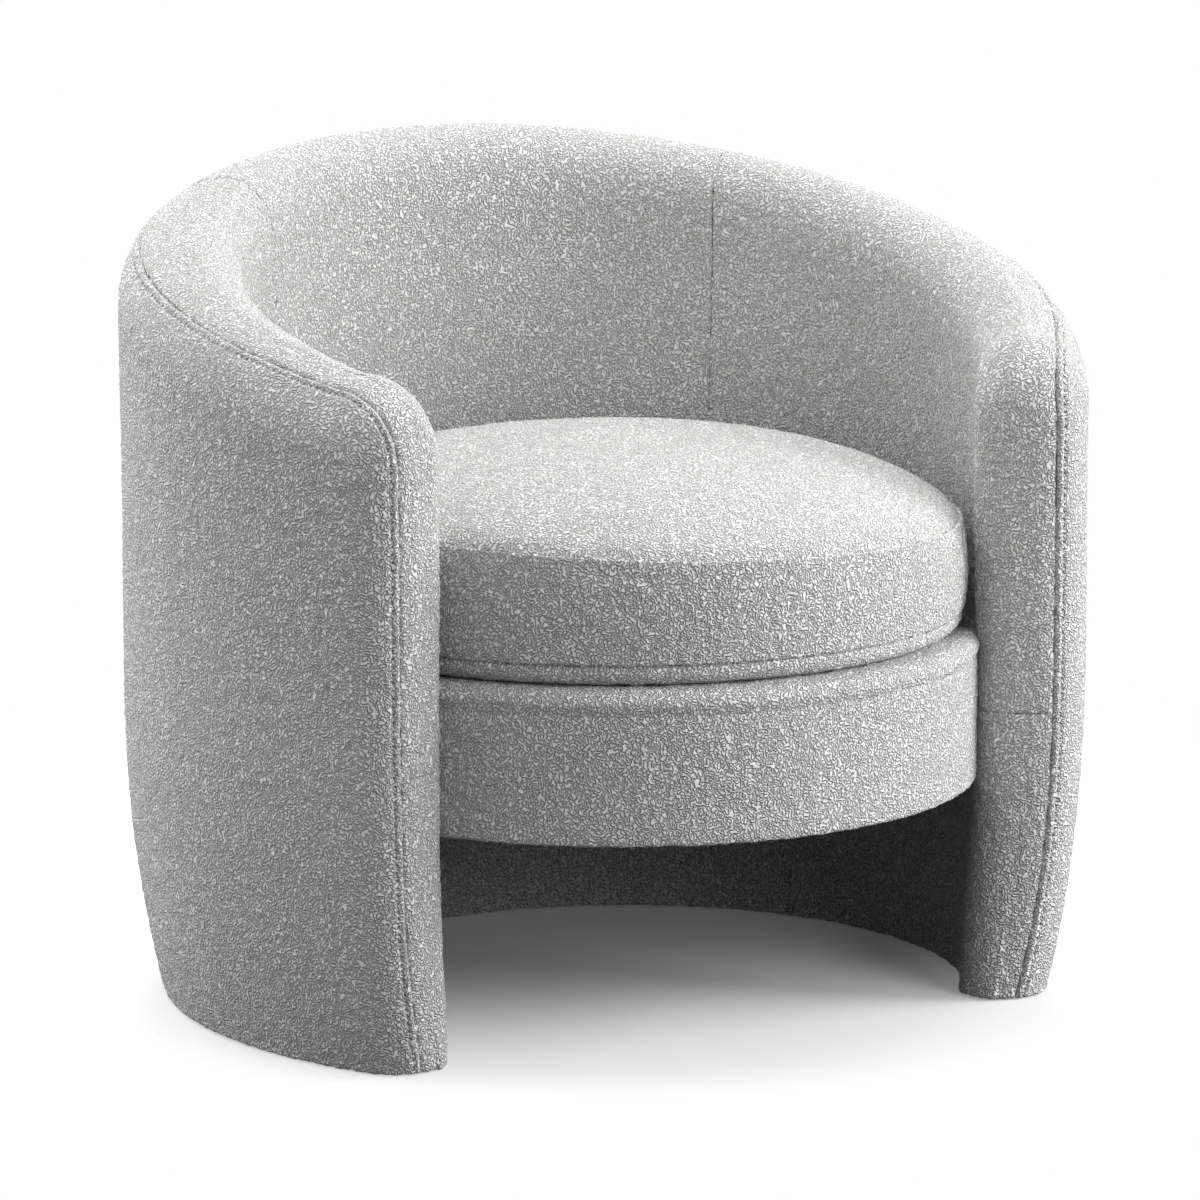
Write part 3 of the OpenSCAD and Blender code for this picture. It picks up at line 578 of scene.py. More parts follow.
def revolved(profile: np.ndarray, centre_y: float, start: float, end: float, steps: int
             ) -> tuple[np.ndarray, list[list[int]]]:
    """Turns a profile about the seat's upright axis.

    Args:
        profile: Radius and height of each profile point, with the outside on its right.
        centre_y: Where the axis lies.
        start: First plan angle.
        end: Last plan angle; a full turn closes.
        steps: Number of steps round.

    Returns:
        The points and the faces.
    """
    open_end = 0 if abs(end - start) >= 360 else 1
    turns = np.radians(start + (end - start) * np.arange(steps + open_end) / steps)
    radius, z = profile[:, 0], profile[:, 1]
    points = np.stack([np.outer(np.sin(turns), radius),
                       centre_y + np.outer(np.cos(turns), radius),
                       np.broadcast_to(z, (len(turns), len(z)))], axis=-1).reshape(-1, 3)
    faces = []
    for i in range(steps):
        here, there = i * len(z), (i + 1) % len(turns) * len(z)
        faces += [[here + k, here + k + 1, there + k + 1, there + k] for k in range(len(z) - 1)]
    return points, faces


def roll_edges(points: list[np.ndarray], faces: np.ndarray,
               turned_in: Callable[[int], Sequence[np.ndarray]]
               ) -> tuple[list[list[int]], dict[int, tuple[int, int]]]:
    """Adds two rows of faces along each open edge of a cover, as cloth turned in at its seam.

    Args:
        points: The cover's points, to which the new ones are added.
        faces: The cover's faces, one row each.
        turned_in: Gives the two new points behind one of the edge's points.

    Returns:
        All the faces, and the numbers of the two new points for each of the edge's.
    """
    sides = {(a, b) for face in faces for a, b in zip(face, np.roll(face, -1))}
    border = [(a, b) for a, b in sides if (b, a) not in sides]
    rolled: dict[int, tuple[int, int]] = {}
    for vertex in sorted({end for side in border for end in side}):
        rolled[vertex] = (len(points), len(points) + 1)
        points.extend(turned_in(vertex))
    quads = [list(face) for face in faces]
    for a, b in border:
        quads.append([b, a, rolled[a][0], rolled[b][0]])
        quads.append([rolled[b][0], rolled[a][0], rolled[a][1], rolled[b][1]])
    return quads, rolled


def new_mesh(name: str, points: np.ndarray, faces: Sequence[Sequence[int]]) -> bpy.types.Object:
    """Makes a mesh object at the origin.

    Args:
        name: The piece's name.
        points: Its points, one row each.
        faces: Its faces, as lists of point numbers.

    Returns:
        The object, in the scene.
    """
    mesh = bpy.data.meshes.new(name)
    mesh.from_pydata([tuple(map(float, point)) for point in points], [],
                     [tuple(map(int, face)) for face in faces])
    mesh.validate()
    made = bpy.data.objects.new(name, mesh)
    bpy.context.scene.collection.objects.link(made)
    return made


def write_seam_map(piece: bpy.types.Object, values: Sequence[Sequence[float]]) -> None:
    """Writes the way along a seam and the way across it, one pair for each face corner."""
    layer = piece.data.uv_layers.new(name=SEAM_MAP)
    layer.data.foreach_set("uv", np.array(values).astype(np.float32).ravel())


def only(piece: bpy.types.Object) -> None:
    """Selects one object and nothing else.

    Args:
        piece: The object.
    """
    bpy.ops.object.select_all(action="DESELECT")
    piece.select_set(True)
    bpy.context.view_layer.objects.active = piece


def apply_modifier(piece: bpy.types.Object, kind: str, **settings: object) -> None:
    """Adds a modifier and applies it.

    Args:
        piece: The object.
        kind: The modifier's type.
        settings: Its settings.
    """
    only(piece)
    modifier = piece.modifiers.new(kind.lower(), kind)
    for name, value in settings.items():
        setattr(modifier, name, value)
    bpy.ops.object.modifier_apply(modifier=modifier.name)


def subdivide(piece: bpy.types.Object, levels: int) -> None:
    """Rounds a piece by subdivision, with the corners of its open edges kept."""
    apply_modifier(piece, "SUBSURF", levels=levels, render_levels=levels,
                   boundary_smooth="PRESERVE_CORNERS")


@dataclass(frozen=True)
class Nubs:
    """The lumps that loops and tufts of yarn give to a cover's surface."""

    loop_size: float = 5.0 * MM
    loop_h: float = 2.0 * MM
    tuft_size: float = 11.0 * MM
    tuft_h: float = 1.3 * MM

    def texture(self, name: str, size: float) -> bpy.types.Texture:
        """Makes a cloud pattern, once.

        Args:
            name: The pattern's name.
            size: The size of its features.

        Returns:
            The pattern.
        """
        made = bpy.data.textures.get(name)
        if made is None:
            made = bpy.data.textures.new(name, "CLOUDS")
            made.noise_scale = size
            made.noise_depth = 1
        return made

    def raise_on(self, piece: bpy.types.Object) -> None:
        """Displaces a piece's surface.

        Args:
            piece: The rounded mesh.
        """
        for name, size, height in (("tufts", self.tuft_size, self.tuft_h),
                                   ("loops", self.loop_size, self.loop_h)):
            apply_modifier(piece, "DISPLACE", texture=self.texture(name, size),
                           texture_coords="LOCAL", strength=height, mid_level=0.5)


NUBS = Nubs()


def dress(piece: bpy.types.Object, finish: Finish, body: Body, node: str) -> None:
    """Gives a piece its finish, hides the CAD node that it stands for and sets it on its body.

    Args:
        piece: The piece's object.
        finish: Its finish.
        body: The body that it rides on.
        node: The CAD node that it stands for.
    """
    piece.data.materials.clear()
    piece.data.materials.append(finish.material())
    only(piece)
    bpy.ops.object.shade_smooth()
    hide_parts(node)
    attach(piece, body.value)
    LOG.info("%s: %d faces", piece.name, len(piece.data.polygons))


def dress_padded(piece: bpy.types.Object, finish: Finish, body: Body, node: str) -> None:
    """Dresses a padded piece."""
    dress(piece, finish, body, node)


def worked_out() -> np.ndarray:
    """A field that the class's own methods fill in."""
    return field(init=False, repr=False)


@dataclass(frozen=True)
class ShellForm:
    """The shell's surface, from the same driving sizes as the frame's.

    Attributes:
        outer_r, back_off: Radius of the outside, and how far its centre lies behind the middle.
        arm_angle: Plan angle of the arms' fronts.
        fall_share: How early the top falls from the back's height to the arms'.
        taper, taper_h, taper_power: How the outside draws in towards the floor.
        top_round_out, front_round_out: Roundings of the outside's edge, and so on for the inside.
        inner_r, inner_off: Radius of the inside and offset of its centre, at inner_heights.
        seam_arm_a, seam_back_a: Where the outer seam lies on the rounding's arc of 90 degrees.
    """

    outer_r: float = 411 * MM
    back_off: float = 35 * MM
    arm_angle: float = 125.8
    back_h: float = 702 * MM
    arm_h: float = 553 * MM
    corner_r: float = 66 * MM
    taper: float = 30 * MM
    taper_h: float = 300 * MM
    taper_power: float = 2.6
    fall_share: float = 1.91
    top_round_out: float = 50 * MM
    top_round_in: float = 38 * MM
    front_round_out: float = 36 * MM
    front_round_in: float = 28 * MM
    inner_r: tuple[float, ...] = (290 * MM, 304.5 * MM, 304.5 * MM, 318 * MM)
    inner_off: tuple[float, ...] = (-8 * MM, 0.0, 0.0, 31 * MM)
    deck_r: float = 303 * MM
    deck_low_z: float = 189 * MM
    deck_top_z: float = 317 * MM
    seam_arm_a: float = 24.0
    seam_back_a: float = 62.0
    seam_power: float = 1.2

    @property
    def seat_y(self) -> float:
        """Where the seat's centre lies."""
        return -(self.back_off + self.outer_r - self.deck_r) / 2

    @property
    def arm_mean_r(self) -> float:
        """Radius that turns a distance from an arm's front into an angle."""
        return (self.outer_r + self.deck_r) / 2

    @property
    def corner_a(self) -> float:
        """Plan angle where an arm's top meets its front corner."""
        return float(self.arm_at(self.corner_r))

    @property
    def corner_z(self) -> float:
        """Height of the corner's centre."""
        return float(self.top_z(self.corner_a)) - self.corner_r

    @property
    def inner_heights(self) -> tuple[float, ...]:
        """Heights at which the inside's circle is given: floor, drum's two edges and top."""
        return (0.0, self.deck_low_z, self.deck_top_z, self.back_h)

    def arm_at(self, distance: np.ndarray | float) -> np.ndarray | float:
        """Plan angle at a distance behind an arm's front."""
        return self.arm_angle - np.degrees(distance / self.arm_mean_r)

    def top_z(self, a: np.ndarray | float) -> np.ndarray | float:
        """Works out the height of the shell's top.

        Args:
            a: Plan angles.

        Returns:
            The heights.
        """
        way = np.abs(a) / self.arm_angle
        fall = self.fall_share * way ** 2 + (1 - self.fall_share) * way ** 3
        return self.back_h - (self.back_h - self.arm_h) * fall

    def seam_at(self, a: np.ndarray) -> np.ndarray:
        """Where the outer seam lies on the rounding's arc, at plan angles."""
        way = (1 - np.abs(a) / self.arm_angle) ** self.seam_power
        return self.seam_arm_a + (self.seam_back_a - self.seam_arm_a) * way

    def polar(self, radius: np.ndarray | float, off: np.ndarray | float,
              a: np.ndarray) -> np.ndarray:
        """Distance from the seat's centre to a circle whose centre lies off behind it."""
        turn = np.radians(a)
        return off * np.cos(turn) + np.sqrt(radius ** 2 - (off * np.sin(turn)) ** 2)

    def reach(self, a: np.ndarray, z: np.ndarray, outside: bool) -> np.ndarray:
        """Works out the distance from the seat's centre to a wall.

        Args:
            a: Plan angles.
            z: Heights.
            outside: Whether the wall is the outside or the inside one.

        Returns:
            The distances.
        """
        if outside:
            draw = self.taper * np.clip(1 - z / self.taper_h, 0, 1) ** self.taper_power
            return self.polar(self.outer_r - draw, self.back_off, a)
        return self.polar(np.interp(z, self.inner_heights, self.inner_r),
                          np.interp(z, self.inner_heights, self.inner_off), a)

    def at(self, a: np.ndarray, radius: np.ndarray, z: np.ndarray) -> np.ndarray:
        """Places points about the seat's centre.

        Args:
            a: Plan angles.
            radius: Distances from the seat's centre.
            z: Heights.

        Returns:
            The points.
        """
        turn = np.radians(a)
        return np.stack([radius * np.sin(turn), self.seat_y + radius * np.cos(turn),
                         np.broadcast_to(z, np.shape(turn))], axis=-1)


@dataclass
class ShellCovers:
    """The shell's nine boucle covers, cut from one skin so that their seams meet.

    The skin is two walls of columns and rows, and a band that joins them round the rim: up the
    left arm's front, over the top and down the right one's. A place along the rim is a ring
    number, and a place across the band, from the outside in, is a level.

    Attributes:
        pitch: Size of the skin's faces.
        inside_seam_a, lower_seam_a: Plan angles of the upright seams over and under the drum.
        near_seam: Distances of the close rows beside a seam.
        lip_steps, lip_heights: The padded lip outside the outer seam: distances and heights.
        wall_sink: How deep the other seams sink, as seam_sink is for the outer one.
        stitch_line: Distance of the stitches from the outer seam.
        joint_z: Height of the seam across the arms' fronts, behind the drum.
        lower_top_z, upper_low_z: Where the inside covers end behind the drum.
        hem_z, hem_fold_z, hem_under_z: Heights of the hem, of its fold and of its end.
        hem_share_out, hem_share_in: How far under the base it goes, to the base's middle line.
        edge_shares: How deep the two points of a rolled edge lie, in shares of edge_roll.
        wave, wave_size, wave_rise: Waves of the cloth, and the height over which they set in.
        puff_top, puff_front, puff_reach, puff_power: How the padding swells the inner edge.
    """

    form: ShellForm = field(default_factory=ShellForm)
    pitch: float = 12 * MM
    corner_steps: int = 8
    inner_steps: int = 6
    flat_steps: int = 3
    inside_seam_a: float = 40.0
    lower_seam_a: float = 57.0
    near_seam: tuple[float, ...] = (2 * MM, 5 * MM)
    lip_steps: tuple[float, ...] = (2 * MM, 4.5 * MM, 7 * MM, 9 * MM, 11.5 * MM)
    lip_heights: tuple[float, ...] = (1.0 * MM, 1.6 * MM, -0.9 * MM, 0.2 * MM, 0.3 * MM)
    seam_sink: float = 1.2 * MM
    wall_sink: float = 0.72 * MM
    stitch_line: float = 7 * MM
    joint_z: float = 250 * MM
    lower_top_z: float = 194 * MM
    upper_low_z: float = 300 * MM
    foot_rows: tuple[float, ...] = (1 * MM, 4 * MM, 8 * MM, 15 * MM)
    hem_fold_z: float = 0.8 * MM
    hem_under_z: float = 2.2 * MM
    hem_clear: float = 55 * MM
    hem_fold_share: float = 0.25
    hem_share_out: float = 0.62
    hem_share_in: float = 0.85
    edge_roll: float = 5 * MM
    edge_shares: tuple[float, float] = (0.4, 1.0)
    wave: float = 1.6 * MM
    wave_size: float = 150 * MM
    wave_rise: float = 40 * MM
    puff_top: float = 3.5 * MM
    puff_front: float = 5.5 * MM
    puff_reach: float = 75 * MM
    puff_power: float = 1.5
    fill: float = 0.8

    col_a: np.ndarray = worked_out()
    col_sign: np.ndarray = worked_out()
    col_turn: np.ndarray = worked_out()
    row_low: np.ndarray = worked_out()
    row_share: np.ndarray = worked_out()
    ring_col: np.ndarray = worked_out()
    ring_row: np.ndarray = worked_out()
    points: np.ndarray = worked_out()
    normals: np.ndarray = worked_out()
    inner_id: np.ndarray = worked_out()
    ring_id: np.ndarray = worked_out()
    outer_faces: np.ndarray = worked_out()
    band_faces: np.ndarray = worked_out()
    inner_faces: np.ndarray = worked_out()
    seam_run: np.ndarray = worked_out()
    seam_level: int = field(init=False, repr=False)

    @property
    def columns(self) -> int:
        """Number of the skin's columns."""
        return len(self.col_a)

    @property
    def rows(self) -> int:
        """Number of the skin's rows."""
        return len(self.row_low)

    @property
    def hem_z(self) -> float:
        """Height of the skin's lower edge."""
        return self.foot_rows[0]

    def build(self) -> None:
        self.lay_out_columns()
        self.lay_out_rows()
        self.place_skin()
        self.shape_seams()
        for region in Region:
            for side in Side:
                self.cut_panel(region, side)

    def lay_out_columns(self) -> None:
        """Sets out the columns from the left arm's front to the right one's.

        A corner's columns share its plan angle and fan out over a quarter turn above it.
        """
        form = self.form
        near = [math.degrees(away / form.arm_mean_r) for away in self.near_seam]
        step = math.degrees(self.pitch / form.outer_r)
        half = (graded(form.corner_a, self.lower_seam_a, (), near, step)
                + graded(self.lower_seam_a, self.inside_seam_a, near, near, step)
                + graded(self.inside_seam_a, 0.0, near, (), step))
        turns = [90.0 * i / self.corner_steps for i in range(self.corner_steps)]
        corner = [form.corner_a] * self.corner_steps
        count = self.corner_steps + len(half)
        self.col_a = np.array(corner + half + [0.0] + half[::-1] + corner)
        self.col_sign = np.array([-1.0] * (count + 1) + [1.0] * count)
        self.col_turn = np.array(turns + [90.0] * (2 * len(half) + 1) + turns[::-1])

    def lay_out_rows(self) -> None:
        """Sets out the rows, level up to the drum's top and then in shares of what is left."""
        top = self.form.deck_top_z
        low = [*self.foot_rows[:-1],
               *graded(self.foot_rows[-1], self.lower_top_z, (), (), self.pitch),
               *graded(self.lower_top_z, self.joint_z, (), self.near_seam, self.pitch),
               *graded(self.joint_z, self.upper_low_z, self.near_seam, (), self.pitch),
               *graded(self.upper_low_z, top, (), (), self.pitch)]
        upper = round((self.form.back_h - top) / self.pitch)
        self.row_low = np.array(low + [top] * (upper + 1))
        self.row_share = np.array([0.0] * len(low) + [i / upper for i in range(upper + 1)])
        up, last = list(range(self.rows)), self.columns - 1
        self.ring_col = np.array([0] * self.rows + list(range(1, self.columns))
                                 + [last] * (self.rows - 1))
        self.ring_row = np.array(up + [self.rows - 1] * last + up[:-1][::-1])

    def rim(self, col: np.ndarray, depth: np.ndarray) -> tuple[np.ndarray, np.ndarray]:
        """Follows the outline at a depth below it.

        Args:
            col: Column numbers.
            depth: Depth under the outline, in the wall's own surface.

        Returns:
            The plan angles and the heights.
        """
        form = self.form
        reach = form.corner_r - depth
        turn = np.radians(self.col_turn[col])
        in_corner = self.col_turn[col] < 90
        angle = np.where(in_corner, form.arm_at(form.corner_r - reach * np.cos(turn)),
                         self.col_a[col])
        height = np.where(in_corner, form.corner_z + reach * np.sin(turn),
                          form.top_z(self.col_a[col]) - depth)
        return self.col_sign[col] * angle, height

    def rounding(self, col: np.ndarray, outside: bool) -> np.ndarray:
        """Works out the rounding at each column, from the arm front's to the top's.

        Args:
            col: Column numbers.
            outside: Whether it is the outside wall's or the inside one's.

        Returns:
            The radii.
        """
        form = self.form
        top, front = ((form.top_round_out, form.front_round_out) if outside
                      else (form.top_round_in, form.front_round_in))
        return front + (top - front) * self.col_turn[col] / 90

    def row_z(self, row: np.ndarray, top: np.ndarray) -> np.ndarray:
        """Height of a row under a column's top."""
        low = self.row_low[row]
        return low + (top - low) * self.row_share[row]

    def wall(self, outside: bool) -> np.ndarray:
        """Places the points of a whole wall.

        Args:
            outside: Whether it is the outside or the inside one.

        Returns:
            The points, by column and row.
        """
        col, row = np.meshgrid(np.arange(self.columns), np.arange(self.rows), indexing="ij")
        angle, top = self.rim(col, self.rounding(col, outside))
        z = self.row_z(row, top)
        return self.form.at(angle, self.form.reach(angle, z, outside), z)

    def band_level(self, theta: np.ndarray, outside: bool) -> np.ndarray:
        """Places one level of the band.

        Args:
            theta: Angle on the rounding's arc at each ring, from 0 on the rim to 90 on the wall.
            outside: Whether it is the outside's rounding or the inside's.

        Returns:
            The points, by ring.
        """
        radius = self.rounding(self.ring_col, outside)
        turn = np.radians(theta)
        angle, top = self.rim(self.ring_col, radius * (1 - np.cos(turn)))
        z = self.row_z(self.ring_row, top)
        inset = radius * (1 - np.sin(turn)) * (-1 if outside else 1)
        return self.form.at(angle, self.form.reach(angle, z, outside) + inset, z)

    def band(self) -> np.ndarray:
        """Places the band's levels, close together beside the outer seam, and notes its level.

        Returns:
            The points, by ring and level.
        """
        col = self.ring_col
        seam = self.form.seam_at(self.rim(col, np.zeros(len(col)))[0])
        per_metre = np.degrees(1 / self.rounding(col, outside=True))
        lip = [seam + away * per_metre for away in self.lip_steps]
        near = [seam - away * per_metre for away in self.near_seam]
        before = [lip[-1] + (90 - lip[-1]) / 2, *lip[::-1]]
        after = [*near, near[-1] * 2 / 3, near[-1] / 3, near[-1] * 0]
        self.seam_level = len(before) + 1
        outer = [self.band_level(theta, outside=True) for theta in (*before, seam, *after)]
        inner = [self.band_level(np.full(len(col), 90.0 * i / self.inner_steps), outside=False)
                 for i in range(self.inner_steps)]
        flat = [outer[-1] + (inner[0] - outer[-1]) * i / self.flat_steps
                for i in range(1, self.flat_steps)]
        return np.stack(outer + flat + inner, axis=1)

    def place_skin(self) -> None:
        """Places and numbers every point of the skin, and its faces so that they look outwards."""
        outer, band, inner = self.wall(outside=True), self.band(), self.wall(outside=False)
        self.points = np.concatenate([part.reshape(-1, 3) for part in (outer, band, inner)])
        grid, on_band = outer.shape[:2], band.shape[:2]
        outer_id = np.arange(math.prod(grid)).reshape(grid)
        band_id = outer_id.size + np.arange(math.prod(on_band)).reshape(on_band)
        self.inner_id = outer_id.size + band_id.size + outer_id
        self.ring_id = np.concatenate([outer_id[self.ring_col, self.ring_row][:, None], band_id,
                                       self.inner_id[self.ring_col, self.ring_row][:, None]],
                                      axis=1)
        self.outer_faces, self.band_faces, self.inner_faces = (
            np.stack([ids[:-1, :-1], ids[:-1, 1:], ids[1:, 1:], ids[1:, :-1]], axis=-1)
            for ids in (outer_id, self.ring_id, self.inner_id))
        self.inner_faces = self.inner_faces[..., [0, 3, 2, 1]]
        skin = (self.outer_faces, self.band_faces, self.inner_faces)
        self.normals = smooth_normals(self.points,
                                      np.concatenate([faces.reshape(-1, 4) for faces in skin]))

    def shape_seams(self) -> None:
        """Raises the lip, sinks the seams, swells the inner edge and waves the cloth a little."""
        lift = np.zeros(len(self.points))
        for back, height in enumerate(self.lip_heights, start=1):
            lift[self.ring_id[:, self.seam_level - back]] = height
        lift[self.ring_id[:, self.seam_level]] = -self.seam_sink
        off_corner = np.where(self.col_turn < 90, np.inf, 0.0)
        for seam_a in (self.inside_seam_a, self.lower_seam_a):
            for sign in (-1, 1):
                away = np.abs(self.col_sign * self.col_a - sign * seam_a) + off_corner
                col = int(np.argmin(away))
                lift[self.inner_id[col]] = -self.wall_sink
                if seam_a == self.inside_seam_a:
                    ring = self.rows - 1 + col
                    lift[self.ring_id[ring, self.seam_level + 1:]] = -self.wall_sink
        joint_row = int(np.argmin(np.abs(self.row_low - self.joint_z)))
        for ring in (joint_row, len(self.ring_col) - 1 - joint_row):
            lift[self.ring_id[ring, self.seam_level:]] = -self.wall_sink
        lift += self.overstuffing() + self.waves()
        self.points += self.normals * lift[:, None]
        seam = self.points[self.ring_id[:, self.seam_level]]
        lengths = np.linalg.norm(np.diff(seam, axis=0), axis=1)
        self.seam_run = np.concatenate([[0.0], np.cumsum(lengths)])

    def waves(self) -> np.ndarray:
        """Lets the cloth wander in and out a little, but not at the hem.

        Returns:
            The move of each point along its normal.
        """
        start = Vector((3.0, 6.0, 9.0))
        drift = [noise.noise(Vector(point) / self.wave_size + start) for point in self.points]
        rise = np.clip((self.points[:, 2] - self.hem_z) / self.wave_rise, 0, 1)
        return self.wave * np.array(drift) * rise

    def overstuffing(self) -> np.ndarray:
        """Swells the shell's inner edge, where the padding is fullest.

        Returns:
            The move of each point along its normal.
        """
        form = self.form
        x, y = self.points[:, 0], self.points[:, 1] - form.seat_y
        angle = np.degrees(np.arctan2(np.abs(x), y))
        below = form.top_z(angle) - self.points[:, 2] - form.top_round_in
        behind = np.radians(form.arm_angle - angle) * form.arm_mean_r - form.front_round_in
        near_top, near_front = (1 - smoothstep(np.clip(away / self.puff_reach, 0, 1))
                                for away in (below, behind))
        push = np.hypot(self.puff_top * near_top, self.puff_front * near_front)
        weight = np.zeros(len(self.points))
        first_inner = self.ring_id.shape[1] - 1 - self.inner_steps
        weight[self.inner_id] = 1.0
        weight[self.ring_id[:, first_inner:]] = 1.0
        rising = range(self.seam_level + 1, first_inner)
        for step, level in enumerate(rising, start=1):
            weight[self.ring_id[:, level]] = (step / (len(rising) + 1)) ** self.puff_power
        return push * weight

    def panel_faces(self, region: Region, side: Side) -> np.ndarray:
        """Picks the faces of one cover.

        Args:
            region: The wall that it lies on.
            side: Left, back or right.

        Returns:
            The faces, one row of four point numbers each.
        """
        seam_a = self.lower_seam_a if region is Region.LOWER else self.inside_seam_a
        col_a = self.col_sign * self.col_a
        mid_a = (col_a[:-1] + col_a[1:]) / 2
        on_side = {Side.LEFT: mid_a < -seam_a, Side.BACK: np.abs(mid_a) < seam_a,
                   Side.RIGHT: mid_a > seam_a}[side]
        front = self.rows - 1
        on_ring = np.concatenate([np.full(front, side is Side.LEFT), on_side,
                                  np.full(front, side is Side.RIGHT)])
        if region is Region.OUTSIDE:
            wall, band = self.outer_faces[on_side], self.band_faces[on_ring, :self.seam_level]
            return np.concatenate([wall.reshape(-1, 4), band.reshape(-1, 4)])
        row_mid = (self.row_low[:-1] + self.row_low[1:]) / 2 + self.row_share[1:]
        corner = ((self.col_turn[:-1] < 90) | (self.col_turn[1:] < 90))[:, None]
        high = row_mid > self.joint_z
        ring_high = np.concatenate([high, np.full(self.columns - 1, True), high[::-1]])
        if region is Region.INSIDE:
            on_wall, kept = np.where(corner, high, row_mid > self.upper_low_z), ring_high
        else:
            on_wall, kept = np.where(corner, ~high, row_mid < self.lower_top_z), ~ring_high
        wall = self.inner_faces[on_side[:, None] & on_wall]
        band = self.band_faces[on_ring & kept, self.seam_level:]
        return np.concatenate([wall.reshape(-1, 4), band.reshape(-1, 4)])

    def hem_steps(self, point: np.ndarray, region: Region) -> list[np.ndarray]:
        """Turns the cloth under the base at a point of its lower edge.

        Args:
            point: The point.
            region: The wall that the cloth lies on.

        Returns:
            The point of the fold and that of the hem's end.
        """
        form = self.form
        limit = float(form.arm_at(self.hem_clear))
        angle = math.degrees(math.atan2(point[0], point[1] - form.seat_y))
        angle, floor = np.array(max(-limit, min(limit, angle))), np.array(0.0)
        middle = (form.reach(angle, floor, True) + form.reach(angle, floor, False)) / 2
        target = form.at(angle, middle, np.array(self.hem_under_z))
        share = self.hem_share_out if region is Region.OUTSIDE else self.hem_share_in
        end = point + (target - point) * share
        end[2] = self.hem_under_z
        fold = point + (end - point) * self.hem_fold_share
        fold[2] = self.hem_fold_z
        return [fold, end]

    def cut_panel(self, region: Region, side: Side) -> None:
        """Cuts one cover from the skin, rolls its edges in, rounds it and finishes it.

        Args:
            region: The wall that it lies on.
            side: Left, back or right.
        """
        faces = self.panel_faces(region, side)
        used, compact = np.unique(faces, return_inverse=True)
        points = [*self.points[used]]

        def turned_in(vertex: int) -> list[np.ndarray]:
            """Finds the two points behind one of the edge's.

            Args:
                vertex: The number of the edge's point.

            Returns:
                The points, under the base at the hem and in the seam anywhere else.
            """
            point, inward = points[vertex], self.normals[used[vertex]] * self.edge_roll
            at_hem = point[2] < self.hem_z + MM
            return (self.hem_steps(point, region) if at_hem
                    else [point - inward * share for share in self.edge_shares])

        quads, rolled = roll_edges(points, compact.reshape(faces.shape), turned_in)
        piece = new_mesh(f"{region.value}_{side.value}_upholstery", np.array(points), quads)
        self.map_seam(piece, used, rolled)
        subdivide(piece, 2)
        NUBS.raise_on(piece)
        finish = BOUCLE_STITCHED if region is Region.OUTSIDE else BOUCLE
        dress_padded(piece, finish, Body.CHAIR, self.node_name(region, side))

    def node_name(self, region: Region, side: Side) -> str:
        """Names the CAD node that a cover stands for.

        Args:
            region: The wall that it lies on.
            side: Left, back or right.

        Returns:
            The node's name.
        """
        if region is Region.LOWER:
            return f"lower_inside_cover_{side.value}"
        if side is Side.BACK:
            return f"{region.value}_back_cover"
        return f"{region.value}_arm_cover_{side.value}"

    def map_seam(self, piece: bpy.types.Object, used: np.ndarray,
                 rolled: dict[int, tuple[int, int]]) -> None:
        """Writes how far along the outer seam each point lies, and how far from its stitches.

        Args:
            piece: The cover.
            used: The skin's number of each of its points.
            rolled: The numbers of the rolled edge's points, by that of the edge's point.
        """
        values = np.full((len(self.points), 2), (0.0, 1.0))
        for back, away in enumerate((0.0, *self.lip_steps)):
            level = self.ring_id[:, self.seam_level - back]
            values[level] = np.column_stack([self.seam_run,
                                             np.full(len(level), away - self.stitch_line)])
        source = {new: old for old, pair in rolled.items() for new in pair}
        corners = [loop.vertex_index for loop in piece.data.loops]
        write_seam_map(piece, values[used][[source.get(corner, corner) for corner in corners]])


